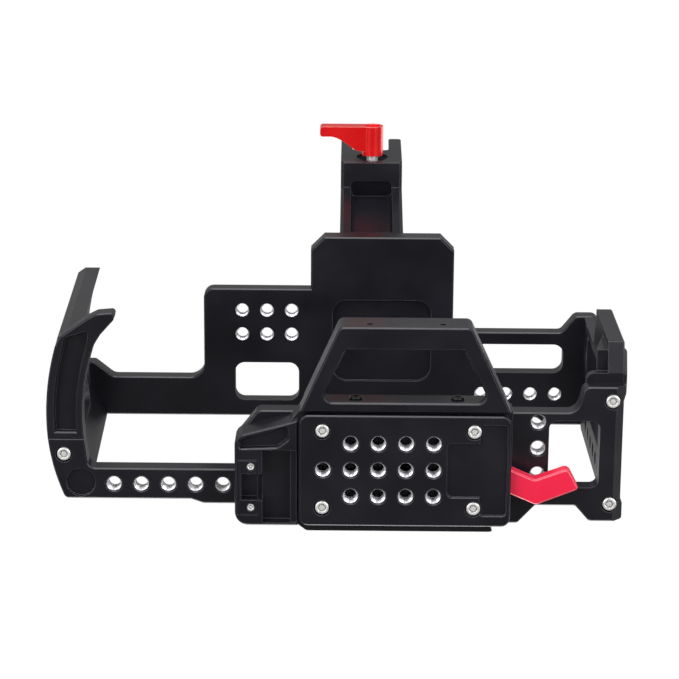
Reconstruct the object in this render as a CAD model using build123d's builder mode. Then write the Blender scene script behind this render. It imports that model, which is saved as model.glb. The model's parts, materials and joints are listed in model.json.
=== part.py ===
from build123d import *
import math
import os

# Camera cage: a quick-release base, a bottom frame, two side arms and a top plate around the space
# for a cinema camera, with a clamp-on top handle. Millimetres, upright in use. +Z is up, the lens
# side faces -Y, the grip side is -X and the socket side is +X. The origin is the middle tripod hole
# of the mount plate, on its lower face, which is the face that the cage stands on.

os.makedirs("parts", exist_ok=True)

LOW = Align.MIN
MID = Align.CENTER
HIGH = Align.MAX

# ---------------------------------------------------------------- driving dimensions

# levels, from the standing face up
MOUNT_PLATE_T = 3.5
BLOCK_T = 9.5
FRAME_T = 7.0
CAMERA_BAY_H = 96.5
TOP_T = 6.5
NOSE_T = 9.0

BLOCK_Z = MOUNT_PLATE_T
FRAME_Z = BLOCK_Z + BLOCK_T
BAY_Z = FRAME_Z + FRAME_T
TOP_Z = BAY_Z + CAMERA_BAY_H
NOSE_Z = TOP_Z + NOSE_T

# overall width and depth
RIGHT_X = 80.0
CAGE_W = 211.4
LEFT_X = RIGHT_X - CAGE_W
REAR_Y = 16.2

# clearances
FIT = 0.06          # radial running clearance of a shaft in its bore
SLIDE = 0.15        # sliding parts, each side
LOOSE = 0.3         # parts that only have to clear each other
SCREW_GAP = 0.05    # a fixed screw's thread in its hole

# screws: M3 and M4 socket caps
M3_R = 1.5
M3_HEAD_R = 2.75
M3_HEAD_H = 3.0
M3_SOCKET = 2.5
M4_R = 2.0
M4_HEAD_R = 3.5
M4_HEAD_H = 4.0
M4_SOCKET = 3.0
HEAD_GAP = 0.25
EDGE = 0.5          # broken edge on machined parts

# 1/4 inch accessory holes on a 10 mm grid
QUARTER_R = 2.75
QUARTER_MOUTH_R = 3.25
PITCH = 10.0

# mount plate
PLATE_L = 76.8
PLATE_W = 42.0
PLATE_MID = (-0.4, 0.4)
PLATE_CORNER_R = 3.5
PLATE_SCREW_X = (-30.3, 24.6)
PLATE_SCREW_Y = 14.6
PLATE_POCKET_D = 1.2

# quick-release block
BLOCK_LEFT = -62.0
BLOCK_RIGHT = 38.4
BLOCK_FRONT = -21.7
BLOCK_REAR = 24.5
BLOCK_SHOULDER = 21.8
BLOCK_NOTCH_Y = -17.4
PAD_Z = 1.0
PAD_POCKET_D = 3.0
CHANNEL_X = (-52.1, -41.9)
CHANNEL_Y = (-7.0, 20.8)
CHANNEL_FLOOR = 6.0
RELIEF_FLOOR = 7.0
BLOCK_SCREWS = ((-35.0, -17.4), (-35.0, 17.4), (8.0, -17.6), (14.0, 17.6))

# slide stop, let into the block's left pad
STOP_X = (-61.0, -53.6)
STOP_Y = (-3.3, 17.8)
STOP_T = 6.0
STOP_SLOT_Y = (2.1, 12.1)
STOP_SCREW_X = -56.2
STOP_SCREW_Y = (-0.6, 15.0)

# lock lever and the slide that it drives
LEVER_PIVOT = (28.0, 0.9)
LEVER_T = 5.5
LEVER_W = 8.6
LEVER_HUB_R = 7.0
LEVER_DIR = 23.7
LEVER_ELBOW = 20.6
LEVER_SWING = 45.0
PIVOT_R = 2.5
CAM_ORBIT = 5.0
CAM_R = 1.2
LOCK_T = 2.6
LOCK_W = 6.1
LOCK_L = 21.0
LOCK_NOSE_H = 2.8
LOCK_NOSE_L = 3.5

# camera screw
CAMERA_SCREW_R = 3.1
CAMERA_NECK_R = 2.4
CAMERA_HEAD_R = 6.5
CAMERA_HEAD_H = 3.6
CAMERA_REACH = 5.5
PAD_T = 0.8

# vent guard
GUARD_Z = 0.5
GUARD_RISE = 1.5    # above the frame's underside
GUARD_FRONT_Y = -53.3
GUARD_FRONT_X = (-24.3, 22.9)
GUARD_REAR_X = (-38.4, 37.6)
GUARD_WALL = 3.0
GUARD_FACE_T = 3.0
GUARD_SCREW_X = (-18.3, 18.5)
GUARD_HOLE_X = (-13.5, 12.7)
GUARD_SCREW_Z = 6.6
GUARD_HEAD_R = 2.4
GUARD_HEAD_H = 1.5

# left arm: its outline is two arcs that touch at its widest point
ARM_FRONT_R = 100.0
ARM_REAR_R = 76.0
ARM_MID_Y = -14.3
ARM_WALL = 7.7
ARM_FOOT_W = 13.3
FOOT_RIM = 3.2
FOOT_INNER = ARM_FOOT_W - 2.8
FOOT_POCKET_D = 3.0
ARM_SEAM_Y = -6.9
ARM_TIP_Y = -44.3
ARM_FRONT_Y = -46.0
ARM_LEAN = 1.93
ARM_EDGE = 2.5
CORNER_R = 2.5      # round rear corner of the bar and the arm

# right arm
RIGHT_WALL = 6.0
RIGHT_FRONT_Y = -42.5
RIGHT_FOOT_Y = -31.5
RIGHT_UPPER_Y = -27.0
RIGHT_REAR_Y = 20.0
RIGHT_POST_H = 50.0
GUSSET_W = 4.0
GUSSET_H = 24.0

# bottom frame
BAR_FRONT_Y = 4.4
BAR_HOLE_X = -67.0
BAR_HOLE_Y = 10.4
SIDE_HOLE_X = 48.5
SIDE_HOLE_Y = -4.7
SIDE_FRONT_Y = -18.3
WING_FRONT_Y = -28.1
WING_REAR_Y = 23.5
SIDE_WINDOW = (52.4, 71.0, -15.2, 10.5)
RIM_CHAMFER = 3.4
RIM_OUT = 0.4

# top plate and its nose
NOSE_X = (-36.7, 21.0)
NOSE_FRONT_Y = -59.0
NOSE_CHAMFER = 5.5
TOP_FRONT_Y = -37.4
TOP_LEFT_X = -80.0
STRAP_FRONT_Y = 0.0
TOP_END_Y = -6.0
TOP_RIGHT_FRONT_Y = -20.0
TOP_HOLES = (-64.4, -28.5)

# top rail
RAIL_X = -12.2
RAIL_W = 20.0
RAIL_FLARE = 2.2
RAIL_H = 7.2
RAIL_Y = (-53.0, 13.0)

# top handle
HANDLE_W = 26.0
HANDLE_Z = TOP_Z + 61.5
GRIP_T = 20.0
GRIP_END_Y = 58.0
HEAD_FRONT_Y = -77.0
HEAD_LEAN = 4.0
LEG_FRONT_Y = -66.5
LEG_LEAN = 15.0
LEG_T = 13.0
LEG_POCKET_W = 17.4
LEG_POCKET_D = 5.0
LEG_POCKET_L = 42.0
BASE_END_Y = -12.0
BASE_H = 9.0
JAW_T = 7.0
KNOB_R = 8.5
KNOB_L = 9.0

# accessory clamp on the head of the handle
CLAMP_PLATE_T = 6.5
CLAMP_LIP = 3.0
CLAMP_FORK_H = 20.0
CLAMP_NOTCH_W = 15.8
CLAMP_SEAT_W = 20.0
CLAMP_OPEN = 0.45
CLAMP_AXIS_H = 10.5
HUB_R = 4.6
HUB_L = 12.6
HUB_STANDOFF = 1.6
CLAMP_ARM_L = 22.3
CLAMP_ARM_T = 4.3
CLAMP_ARM_W = 7.6
CLAMP_SCREW_R = 2.5


# ---------------------------------------------------------------- helpers

def from_below(x, y, z=0.0):
    """A workplane that looks up at the part: holes made on it go towards +Z."""
    return Plane(origin=(x, y, z), x_dir=(1, 0, 0), z_dir=(0, 0, -1))


def from_front(x, y, z):
    """A workplane that looks at the part from the lens side: holes go towards +Y."""
    return Plane(origin=(x, y, z), x_dir=(1, 0, 0), z_dir=(0, -1, 0))


def from_right(x, y, z):
    """A workplane on the socket side: holes go towards -X."""
    return Plane(origin=(x, y, z), x_dir=(0, 1, 0), z_dir=(1, 0, 0))


def side_profile(x):
    """A sketch plane across the cage: its X is the row's Y, its Y is the row's Z."""
    return Plane(origin=(x, 0, 0), x_dir=(0, 1, 0), z_dir=(1, 0, 0))


def socket_screw(head_r, head_h, thread_r, length, socket):
    """A socket cap screw. The head's outer face is at the origin, and the thread runs to -Z."""
    with BuildPart() as screw:
        Cylinder(head_r, head_h, align=(MID, MID, HIGH))
        chamfer(screw.edges().group_by(Axis.Z)[-1], 0.35)
        with Locations((0, 0, -head_h)):
            Cylinder(thread_r - SCREW_GAP, length, align=(MID, MID, HIGH))
        with BuildSketch():
            RegularPolygon(socket / 2, 6, major_radius=False)
        extrude(amount=-head_h * 0.6, mode=Mode.SUBTRACT)
    return screw.part


def arm_x(y, inset):
    """X of the left arm's outline at this Y, moved inwards by an inset."""
    radius = ARM_FRONT_R if y < ARM_MID_Y else ARM_REAR_R
    return LEFT_X + radius - math.sqrt((radius - inset) ** 2 - (y - ARM_MID_Y) ** 2)


def arm_point(y, inset, shift=0.0):
    """The point at this Y on the left arm's outline, moved inwards and then along X."""
    return (arm_x(y, inset) + shift, y)


def box_between(x, y, z, mode=Mode.ADD):
    """A box from its low and high X, Y and Z."""
    with Locations((x[0], y[0], z[0])):
        Box(x[1] - x[0], y[1] - y[0], z[1] - z[0], align=(LOW, LOW, LOW), mode=mode)


# ---------------------------------------------------------------- mount plate

PLATE_RIGHT = PLATE_MID[0] + PLATE_L / 2
plate_screw_places = [(x, y) for x in PLATE_SCREW_X for y in (-PLATE_SCREW_Y, PLATE_SCREW_Y)]
tripod_places = [(col * PITCH, row * PITCH) for row in (-1, 0, 1) for col in (-2, -1, 0, 1)]
tripod_places.append((-3 * PITCH, 0))

with BuildPart() as mount_plate:
    with BuildSketch():
        with Locations(PLATE_MID):
            RectangleRounded(PLATE_L, PLATE_W, PLATE_CORNER_R)
    extrude(amount=MOUNT_PLATE_T)
    chamfer(mount_plate.edges().group_by(Axis.Z)[0], EDGE)
    # recess beside the lever: narrow between the screws, wide at the plate's end
    with BuildSketch():
        with Locations((PLATE_RIGHT - 12.2, 0)):
            RectangleRounded(21.6, 20.4, 2.0)
        with Locations((PLATE_RIGHT - 6.4, 0)):
            RectangleRounded(9.6, 34.4, 1.5)
    extrude(amount=PLATE_POCKET_D, mode=Mode.SUBTRACT)
    chamfer(mount_plate.edges(Select.LAST).group_by(Axis.Z)[0], 0.3)
    with Locations(*[from_below(x, y) for x, y in tripod_places]):
        CounterSinkHole(QUARTER_R, QUARTER_MOUTH_R, depth=MOUNT_PLATE_T)
    with Locations(*[from_below(x, y) for x, y in plate_screw_places]):
        CounterBoreHole(M3_R + 0.1, M3_HEAD_R + HEAD_GAP, M3_HEAD_H - 0.4, depth=MOUNT_PLATE_T)
mount_plate.part.label = "mount_plate"
export_step(mount_plate.part, "parts/mount_plate.step")

PLATE_THREAD_L = 6.0
plate_screw = socket_screw(M3_HEAD_R, M3_HEAD_H - 0.6, M3_R, PLATE_THREAD_L, M3_SOCKET)
with BuildPart() as mount_plate_screws:
    with Locations(*[from_below(x, y, 0.2) for x, y in plate_screw_places]):
        add(plate_screw)
mount_plate_screws.part.label = "mount_plate_screws"
export_step(mount_plate_screws.part, "parts/mount_plate_screws.step")

# ---------------------------------------------------------------- quick-release block

CAVITY_ROOF = BLOCK_Z + 0.3 + LEVER_T + LOOSE
CAVITY_GAP = 0.6
lever_angle = math.radians(LEVER_DIR)
open_angle = math.radians(LEVER_DIR + LEVER_SWING)
CAM_START = -90 - LEVER_SWING / 2
CAM_TRAVEL = 2 * CAM_ORBIT * math.sin(math.radians(LEVER_SWING / 2))
cam_place = (
    LEVER_PIVOT[0] + CAM_ORBIT * math.cos(math.radians(CAM_START)),
    LEVER_PIVOT[1] + CAM_ORBIT * math.sin(math.radians(CAM_START)),
)
LOCK_RIGHT = cam_place[0] + 4.0
LOCK_LEFT = LOCK_RIGHT - LOCK_L
LOCK_Y = (cam_place[1] + 1.7 - LOCK_W, cam_place[1] + 1.7)
LOCK_Z = CAVITY_ROOF + SLIDE


def beside_pivot(angle, along, across):
    """A point at a distance along and across (left is positive) a ray from the lever's pivot."""
    return (
        LEVER_PIVOT[0] + along * math.cos(angle) - across * math.sin(angle),
        LEVER_PIVOT[1] + along * math.sin(angle) + across * math.cos(angle),
    )


HALF_CAVITY = LEVER_W / 2 + CAVITY_GAP
CAVITY_REACH = BLOCK_REAR - LEVER_PIVOT[1] + 2.0

with BuildPart() as quick_release_block:
    with BuildSketch(Plane.XY.offset(BLOCK_Z)):
        with BuildLine():
            FilletPolyline(
                (BLOCK_LEFT, BLOCK_NOTCH_Y + 5.4),
                (CHANNEL_X[1], BLOCK_NOTCH_Y),
                (GUARD_REAR_X[0], BLOCK_FRONT),
                (BLOCK_RIGHT, BLOCK_FRONT),
                (BLOCK_RIGHT, BLOCK_SHOULDER - 0.6),
                (31.0, BLOCK_REAR),
                (-36.0, BLOCK_REAR),
                (-39.6, BLOCK_SHOULDER),
                (BLOCK_LEFT, BLOCK_SHOULDER),
                radius=[4.0, 0, 0, 0, 1.0, 2.0, 2.0, 1.0, 5.0],
                close=True,
            )
        make_face()
    extrude(amount=BLOCK_T)
    # the left pad stands lower than the mount plate's seat
    with BuildSketch(Plane.XY.offset(PAD_Z)):
        with BuildLine():
            FilletPolyline(
                (BLOCK_LEFT, BLOCK_NOTCH_Y + 5.4),
                (CHANNEL_X[1], BLOCK_NOTCH_Y),
                (PLATE_MID[0] - PLATE_L / 2 - 0.4, BLOCK_NOTCH_Y - 0.9),
                (PLATE_MID[0] - PLATE_L / 2 - 0.4, BLOCK_SHOULDER),
                (BLOCK_LEFT, BLOCK_SHOULDER),
                radius=[4.0, 0, 0, 0, 5.0],
                close=True,
            )
        make_face()
    extrude(amount=BLOCK_Z - PAD_Z)
    chamfer(quick_release_block.edges().group_by(Axis.Z)[0], EDGE)
    # channel for the camera plate's rail, and the shallow step in front of it
    box_between(CHANNEL_X, CHANNEL_Y, (0, CHANNEL_FLOOR), mode=Mode.SUBTRACT)
    box_between((CHANNEL_X[1] - 0.01, CHANNEL_X[1] + 2.2), CHANNEL_Y, (0, 2.2), mode=Mode.SUBTRACT)
    with BuildSketch(Plane.XY.offset(PAD_Z)):
        with BuildLine():
            FilletPolyline(
                (BLOCK_LEFT + 1.8, -10.6),
                (-43.2, BLOCK_NOTCH_Y + 1.6),
                (-42.6, -11.0),
                (-46.4, -8.0),
                (BLOCK_LEFT + 1.8, -7.4),
                radius=[1.0, 0.6, 1.5, 3.0, 1.0],
                close=True,
            )
        make_face()
    extrude(amount=PAD_POCKET_D, mode=Mode.SUBTRACT)
    chamfer(quick_release_block.edges(Select.LAST).group_by(Axis.Z)[0], EDGE)
    # seat of the slide stop
    box_between(STOP_X, STOP_Y, (0, PAD_Z + STOP_T), mode=Mode.SUBTRACT)
    box_between(
        (STOP_X[1] - 0.01, CHANNEL_X[0] + 0.01),
        STOP_SLOT_Y,
        (0, PAD_Z + STOP_T),
        mode=Mode.SUBTRACT,
    )
    with Locations(*[from_below(STOP_SCREW_X, y, PAD_Z + STOP_T) for y in STOP_SCREW_Y]):
        Hole(M3_R, depth=3.2)
    # room for the tripod screws above the plate, and for the camera screw's head
    with BuildSketch(Plane.XY.offset(BLOCK_Z)):
        with Locations((-PITCH, 0)):
            RectangleRounded(4 * PITCH + 7.6, 2 * PITCH + 6.6, 3.0)
    extrude(amount=RELIEF_FLOOR - BLOCK_Z, mode=Mode.SUBTRACT)
    with Locations(from_below(0, 0, RELIEF_FLOOR)):
        CounterBoreHole(CAMERA_SCREW_R + FIT, CAMERA_HEAD_R + LOOSE, 4.9, depth=BLOCK_T)
    # the lever's cavity, open towards the socket side and the back
    with BuildSketch(Plane.XY.offset(BLOCK_Z)):
        with Locations(LEVER_PIVOT):
            Circle(LEVER_HUB_R + CAVITY_GAP)
        with BuildLine():
            Polyline(
                beside_pivot(open_angle, 0, HALF_CAVITY),
                beside_pivot(open_angle, CAVITY_REACH, HALF_CAVITY),
                (BLOCK_RIGHT + 8, BLOCK_REAR + 2),
                beside_pivot(lever_angle, 18.5, -HALF_CAVITY),
                beside_pivot(lever_angle, 0, -HALF_CAVITY),
                close=True,
            )
        make_face()
    extrude(amount=CAVITY_ROOF - BLOCK_Z, mode=Mode.SUBTRACT)
    # the lock slide's track, closed by the bottom frame
    box_between(
        (LOCK_LEFT - SLIDE, LOCK_RIGHT + CAM_TRAVEL + SLIDE),
        (LOCK_Y[0] - SLIDE, LOCK_Y[1] + SLIDE),
        (CAVITY_ROOF, FRAME_Z),
        mode=Mode.SUBTRACT,
    )
    with Locations(from_below(*LEVER_PIVOT, CAVITY_ROOF)):
        Hole(M4_R, depth=2.9)
    with Locations(*[from_below(x, y, BLOCK_Z) for x, y in plate_screw_places]):
        Hole(M3_R, depth=PLATE_THREAD_L)
    with Locations(*[from_front(x, BLOCK_FRONT, GUARD_SCREW_Z) for x in GUARD_SCREW_X]):
        Hole(M3_R, depth=6.5)
    with Locations(*[from_below(x, y, BLOCK_Z) for x, y in BLOCK_SCREWS]):
        CounterBoreHole(M3_R + 0.1, M3_HEAD_R + HEAD_GAP, M3_HEAD_H + 0.5, depth=BLOCK_T)
quick_release_block.part.label = "quick_release_block"
export_step(quick_release_block.part, "parts/quick_release_block.step")

block_screw = socket_screw(M3_HEAD_R, M3_HEAD_H, M3_R, BLOCK_T - M3_HEAD_H + 4.0, M3_SOCKET)
with BuildPart() as block_screws:
    with Locations(*[from_below(x, y, BLOCK_Z + 0.5) for x, y in BLOCK_SCREWS]):
        add(block_screw)
block_screws.part.label = "block_screws"
export_step(block_screws.part, "parts/block_screws.step")

# ---------------------------------------------------------------- slide stop

with BuildPart() as slide_stop:
    box_between(
        (STOP_X[0] + 0.1, STOP_X[1] - 0.1),
        (STOP_Y[0] + 0.1, STOP_Y[1] - 0.1),
        (PAD_Z, PAD_Z + STOP_T),
    )
    chamfer(slide_stop.edges().group_by(Axis.Z)[0], 0.4)
    box_between((STOP_X[0] + 1.2, STOP_X[1]), STOP_SLOT_Y, (0, PAD_Z + STOP_T - 1.2), mode=Mode.SUBTRACT)
    with Locations(*[from_below(STOP_SCREW_X, y, PAD_Z) for y in STOP_SCREW_Y]):
        Hole(M3_R, depth=STOP_T)
slide_stop.part.label = "slide_stop"
export_step(slide_stop.part, "parts/slide_stop.step")

with BuildPart() as stop_screw:
    Cylinder(M3_R - SCREW_GAP, STOP_T + 2.0, align=(MID, MID, HIGH))
    with BuildSketch():
        RegularPolygon(0.8, 6, major_radius=False)
    extrude(amount=-1.8, mode=Mode.SUBTRACT)
with BuildPart() as slide_stop_screws:
    with Locations(*[from_below(STOP_SCREW_X, y, PAD_Z + 0.2) for y in STOP_SCREW_Y]):
        add(stop_screw.part)
slide_stop_screws.part.label = "slide_stop_screws"
export_step(slide_stop_screws.part, "parts/slide_stop_screws.step")

# ---------------------------------------------------------------- lock lever

LEVER_Z = BLOCK_Z + 0.3
LEVER_TOP = LEVER_Z + LEVER_T
PIVOT_HEAD_R = 4.0
PIVOT_HEAD_H = 1.7
with BuildPart() as lock_lever:
    with BuildSketch(Plane.XY.offset(LEVER_Z)):
        with BuildLine():
            FilletPolyline(
                beside_pivot(lever_angle, 0, -LEVER_W / 2),
                beside_pivot(lever_angle, LEVER_ELBOW - 1.8, -LEVER_W / 2),
                (LEVER_PIVOT[0] + 31.0, LEVER_PIVOT[1] - 0.9),
                (LEVER_PIVOT[0] + 35.1, LEVER_PIVOT[1] + 7.0),
                beside_pivot(lever_angle, LEVER_ELBOW + 2.6, LEVER_W / 2),
                beside_pivot(lever_angle, 0, LEVER_W / 2),
                radius=[0, 2.5, 2.2, 1.2, 2.5, 0],
                close=True,
            )
        make_face()
        with Locations(LEVER_PIVOT):
            Circle(LEVER_HUB_R)
    extrude(amount=LEVER_T)
    chamfer(lock_lever.edges().group_by(Axis.Z)[0] + lock_lever.edges().group_by(Axis.Z)[-1], EDGE)
    with BuildSketch(Plane.XY.offset(LEVER_TOP)):
        with Locations(cam_place):
            Circle(CAM_R)
    extrude(amount=CAVITY_ROOF - LEVER_TOP + LOCK_T - 0.2)
    with Locations(from_below(*LEVER_PIVOT, LEVER_Z)):
        CounterBoreHole(PIVOT_R + FIT, PIVOT_HEAD_R + LOOSE, PIVOT_HEAD_H + 0.2, depth=LEVER_T)
lock_lever.part.label = "lock_lever"
export_step(lock_lever.part, "parts/lock_lever.step")

with BuildPart() as lever_pivot:
    with Locations(from_below(*LEVER_PIVOT, LEVER_Z)):
        Cylinder(PIVOT_HEAD_R, PIVOT_HEAD_H, align=(MID, MID, HIGH))
        Cylinder(PIVOT_R, CAVITY_ROOF - LEVER_Z, align=(MID, MID, HIGH))
        Cylinder(M4_R - SCREW_GAP, CAVITY_ROOF - LEVER_Z + 2.7, align=(MID, MID, HIGH))
    with BuildSketch(Plane.XY.offset(LEVER_Z)):
        with Locations(LEVER_PIVOT):
            RegularPolygon(1.25, 6, major_radius=False)
    extrude(amount=1.4, mode=Mode.SUBTRACT)
lever_pivot.part.label = "lever_pivot"
export_step(lever_pivot.part, "parts/lever_pivot.step")

with BuildPart() as lever_washer:
    with BuildSketch(Plane.XY.offset(LEVER_TOP + 0.02)):
        with Locations(LEVER_PIVOT):
            Circle(PIVOT_R + 0.55)
            Circle(PIVOT_R + FIT, mode=Mode.SUBTRACT)
    extrude(amount=CAVITY_ROOF - LEVER_TOP - 0.02)
lever_washer.part.label = "lever_washer"
export_step(lever_washer.part, "parts/lever_washer.step")

# the slide has a fork for the lever's cam pin and a nose that holds the bottom frame
with BuildPart() as lock_slide:
    box_between((LOCK_LEFT, LOCK_RIGHT), LOCK_Y, (LOCK_Z, LOCK_Z + LOCK_T))
    box_between(
        (LOCK_LEFT, LOCK_LEFT + LOCK_NOSE_L), LOCK_Y, (LOCK_Z + LOCK_T, LOCK_Z + LOCK_T + LOCK_NOSE_H)
    )
    chamfer(lock_slide.edges().group_by(Axis.Z)[-1], 0.4)
    box_between(
        (cam_place[0] - CAM_R - SLIDE, cam_place[0] + CAM_R + SLIDE),
        (cam_place[1] - CAM_R - 0.7, LOCK_Y[1] + 1),
        (LOCK_Z - 1, LOCK_Z + LOCK_T + 1),
        mode=Mode.SUBTRACT,
    )
lock_slide.part.label = "lock_slide"
export_step(lock_slide.part, "parts/lock_slide.step")

# ---------------------------------------------------------------- vent guard

GUARD_TOP = FRAME_Z + GUARD_RISE
GUARD_H = GUARD_TOP - GUARD_Z
GUARD_OUTLINE = (
    (GUARD_FRONT_X[0], GUARD_FRONT_Y),
    (GUARD_FRONT_X[1], GUARD_FRONT_Y),
    (GUARD_REAR_X[1], BLOCK_FRONT),
    (GUARD_REAR_X[0], BLOCK_FRONT),
)
with BuildPart() as vent_guard:
    with BuildSketch(Plane.XY.offset(GUARD_Z)):
        with BuildLine():
            FilletPolyline(*GUARD_OUTLINE, radius=[2.5, 2.5, 0, 0], close=True)
        make_face()
    extrude(amount=GUARD_H)
    chamfer(vent_guard.edges().group_by(Axis.Z)[0].filter_by(Axis.Y, reverse=True), EDGE)
    # hollow behind the face, towards the camera's vents
    with BuildSketch(Plane.XY.offset(GUARD_Z + GUARD_FACE_T)):
        with BuildLine():
            Polyline(*GUARD_OUTLINE, close=True)
        make_face()
        offset(amount=-GUARD_WALL, kind=Kind.INTERSECTION)
    extrude(amount=GUARD_H, mode=Mode.SUBTRACT)
    # window, wider at the back, with round rear corners
    with BuildSketch(Plane.XY.offset(GUARD_Z)):
        with BuildLine():
            FilletPolyline(
                (GUARD_FRONT_X[0] + 2.2, GUARD_FRONT_Y + 8.4),
                (GUARD_FRONT_X[1] - 2.6, GUARD_FRONT_Y + 8.4),
                (GUARD_REAR_X[1] - 7.6, BLOCK_FRONT - 3.6),
                (GUARD_REAR_X[0] + 7.2, BLOCK_FRONT - 3.6),
                radius=[0.8, 0.8, 3.0, 3.0],
                close=True,
            )
        make_face()
    extrude(amount=GUARD_FACE_T, mode=Mode.SUBTRACT)
    chamfer(vent_guard.edges(Select.LAST).group_by(Axis.Z)[0], 0.6)
    # the back wall ends below the bottom frame
    box_between(
        (GUARD_REAR_X[0], GUARD_REAR_X[1]),
        (BLOCK_FRONT - GUARD_WALL - 0.01, BLOCK_FRONT),
        (FRAME_Z - LOOSE, GUARD_TOP),
        mode=Mode.SUBTRACT,
    )
    with Locations(*[from_front(x, GUARD_FRONT_Y, GUARD_Z + 5.4) for x in GUARD_HOLE_X]):
        Hole(1.25, depth=GUARD_WALL)
    with Locations(*[from_front(x, BLOCK_FRONT - GUARD_WALL, GUARD_SCREW_Z) for x in GUARD_SCREW_X]):
        Hole(M3_R + 0.1, depth=GUARD_WALL)
vent_guard.part.label = "vent_guard"
export_step(vent_guard.part, "parts/vent_guard.step")

guard_screw = socket_screw(GUARD_HEAD_R, GUARD_HEAD_H, M3_R, GUARD_WALL + 6.0, 2.0)
guard_head_y = BLOCK_FRONT - GUARD_WALL - GUARD_HEAD_H
with BuildPart() as vent_guard_screws:
    with Locations(*[from_front(x, guard_head_y, GUARD_SCREW_Z) for x in GUARD_SCREW_X]):
        add(guard_screw)
vent_guard_screws.part.label = "vent_guard_screws"
export_step(vent_guard_screws.part, "parts/vent_guard_screws.step")

# ---------------------------------------------------------------- bottom frame

LEFT_SCREW = arm_point(-0.8, ARM_WALL / 2 + 1.0)
LEFT_DOWEL = arm_point(9.9, ARM_WALL / 2)
RIGHT_SCREW_X = RIGHT_X - 4.6
RIGHT_SCREW_Y = (-22.6, 16.9)
bar_places = [(BAR_HOLE_X - i * PITCH, BAR_HOLE_Y) for i in range(5)]
side_places = [(SIDE_HOLE_X, SIDE_HOLE_Y + i * PITCH) for i in (-1, 0, 1)]

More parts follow.
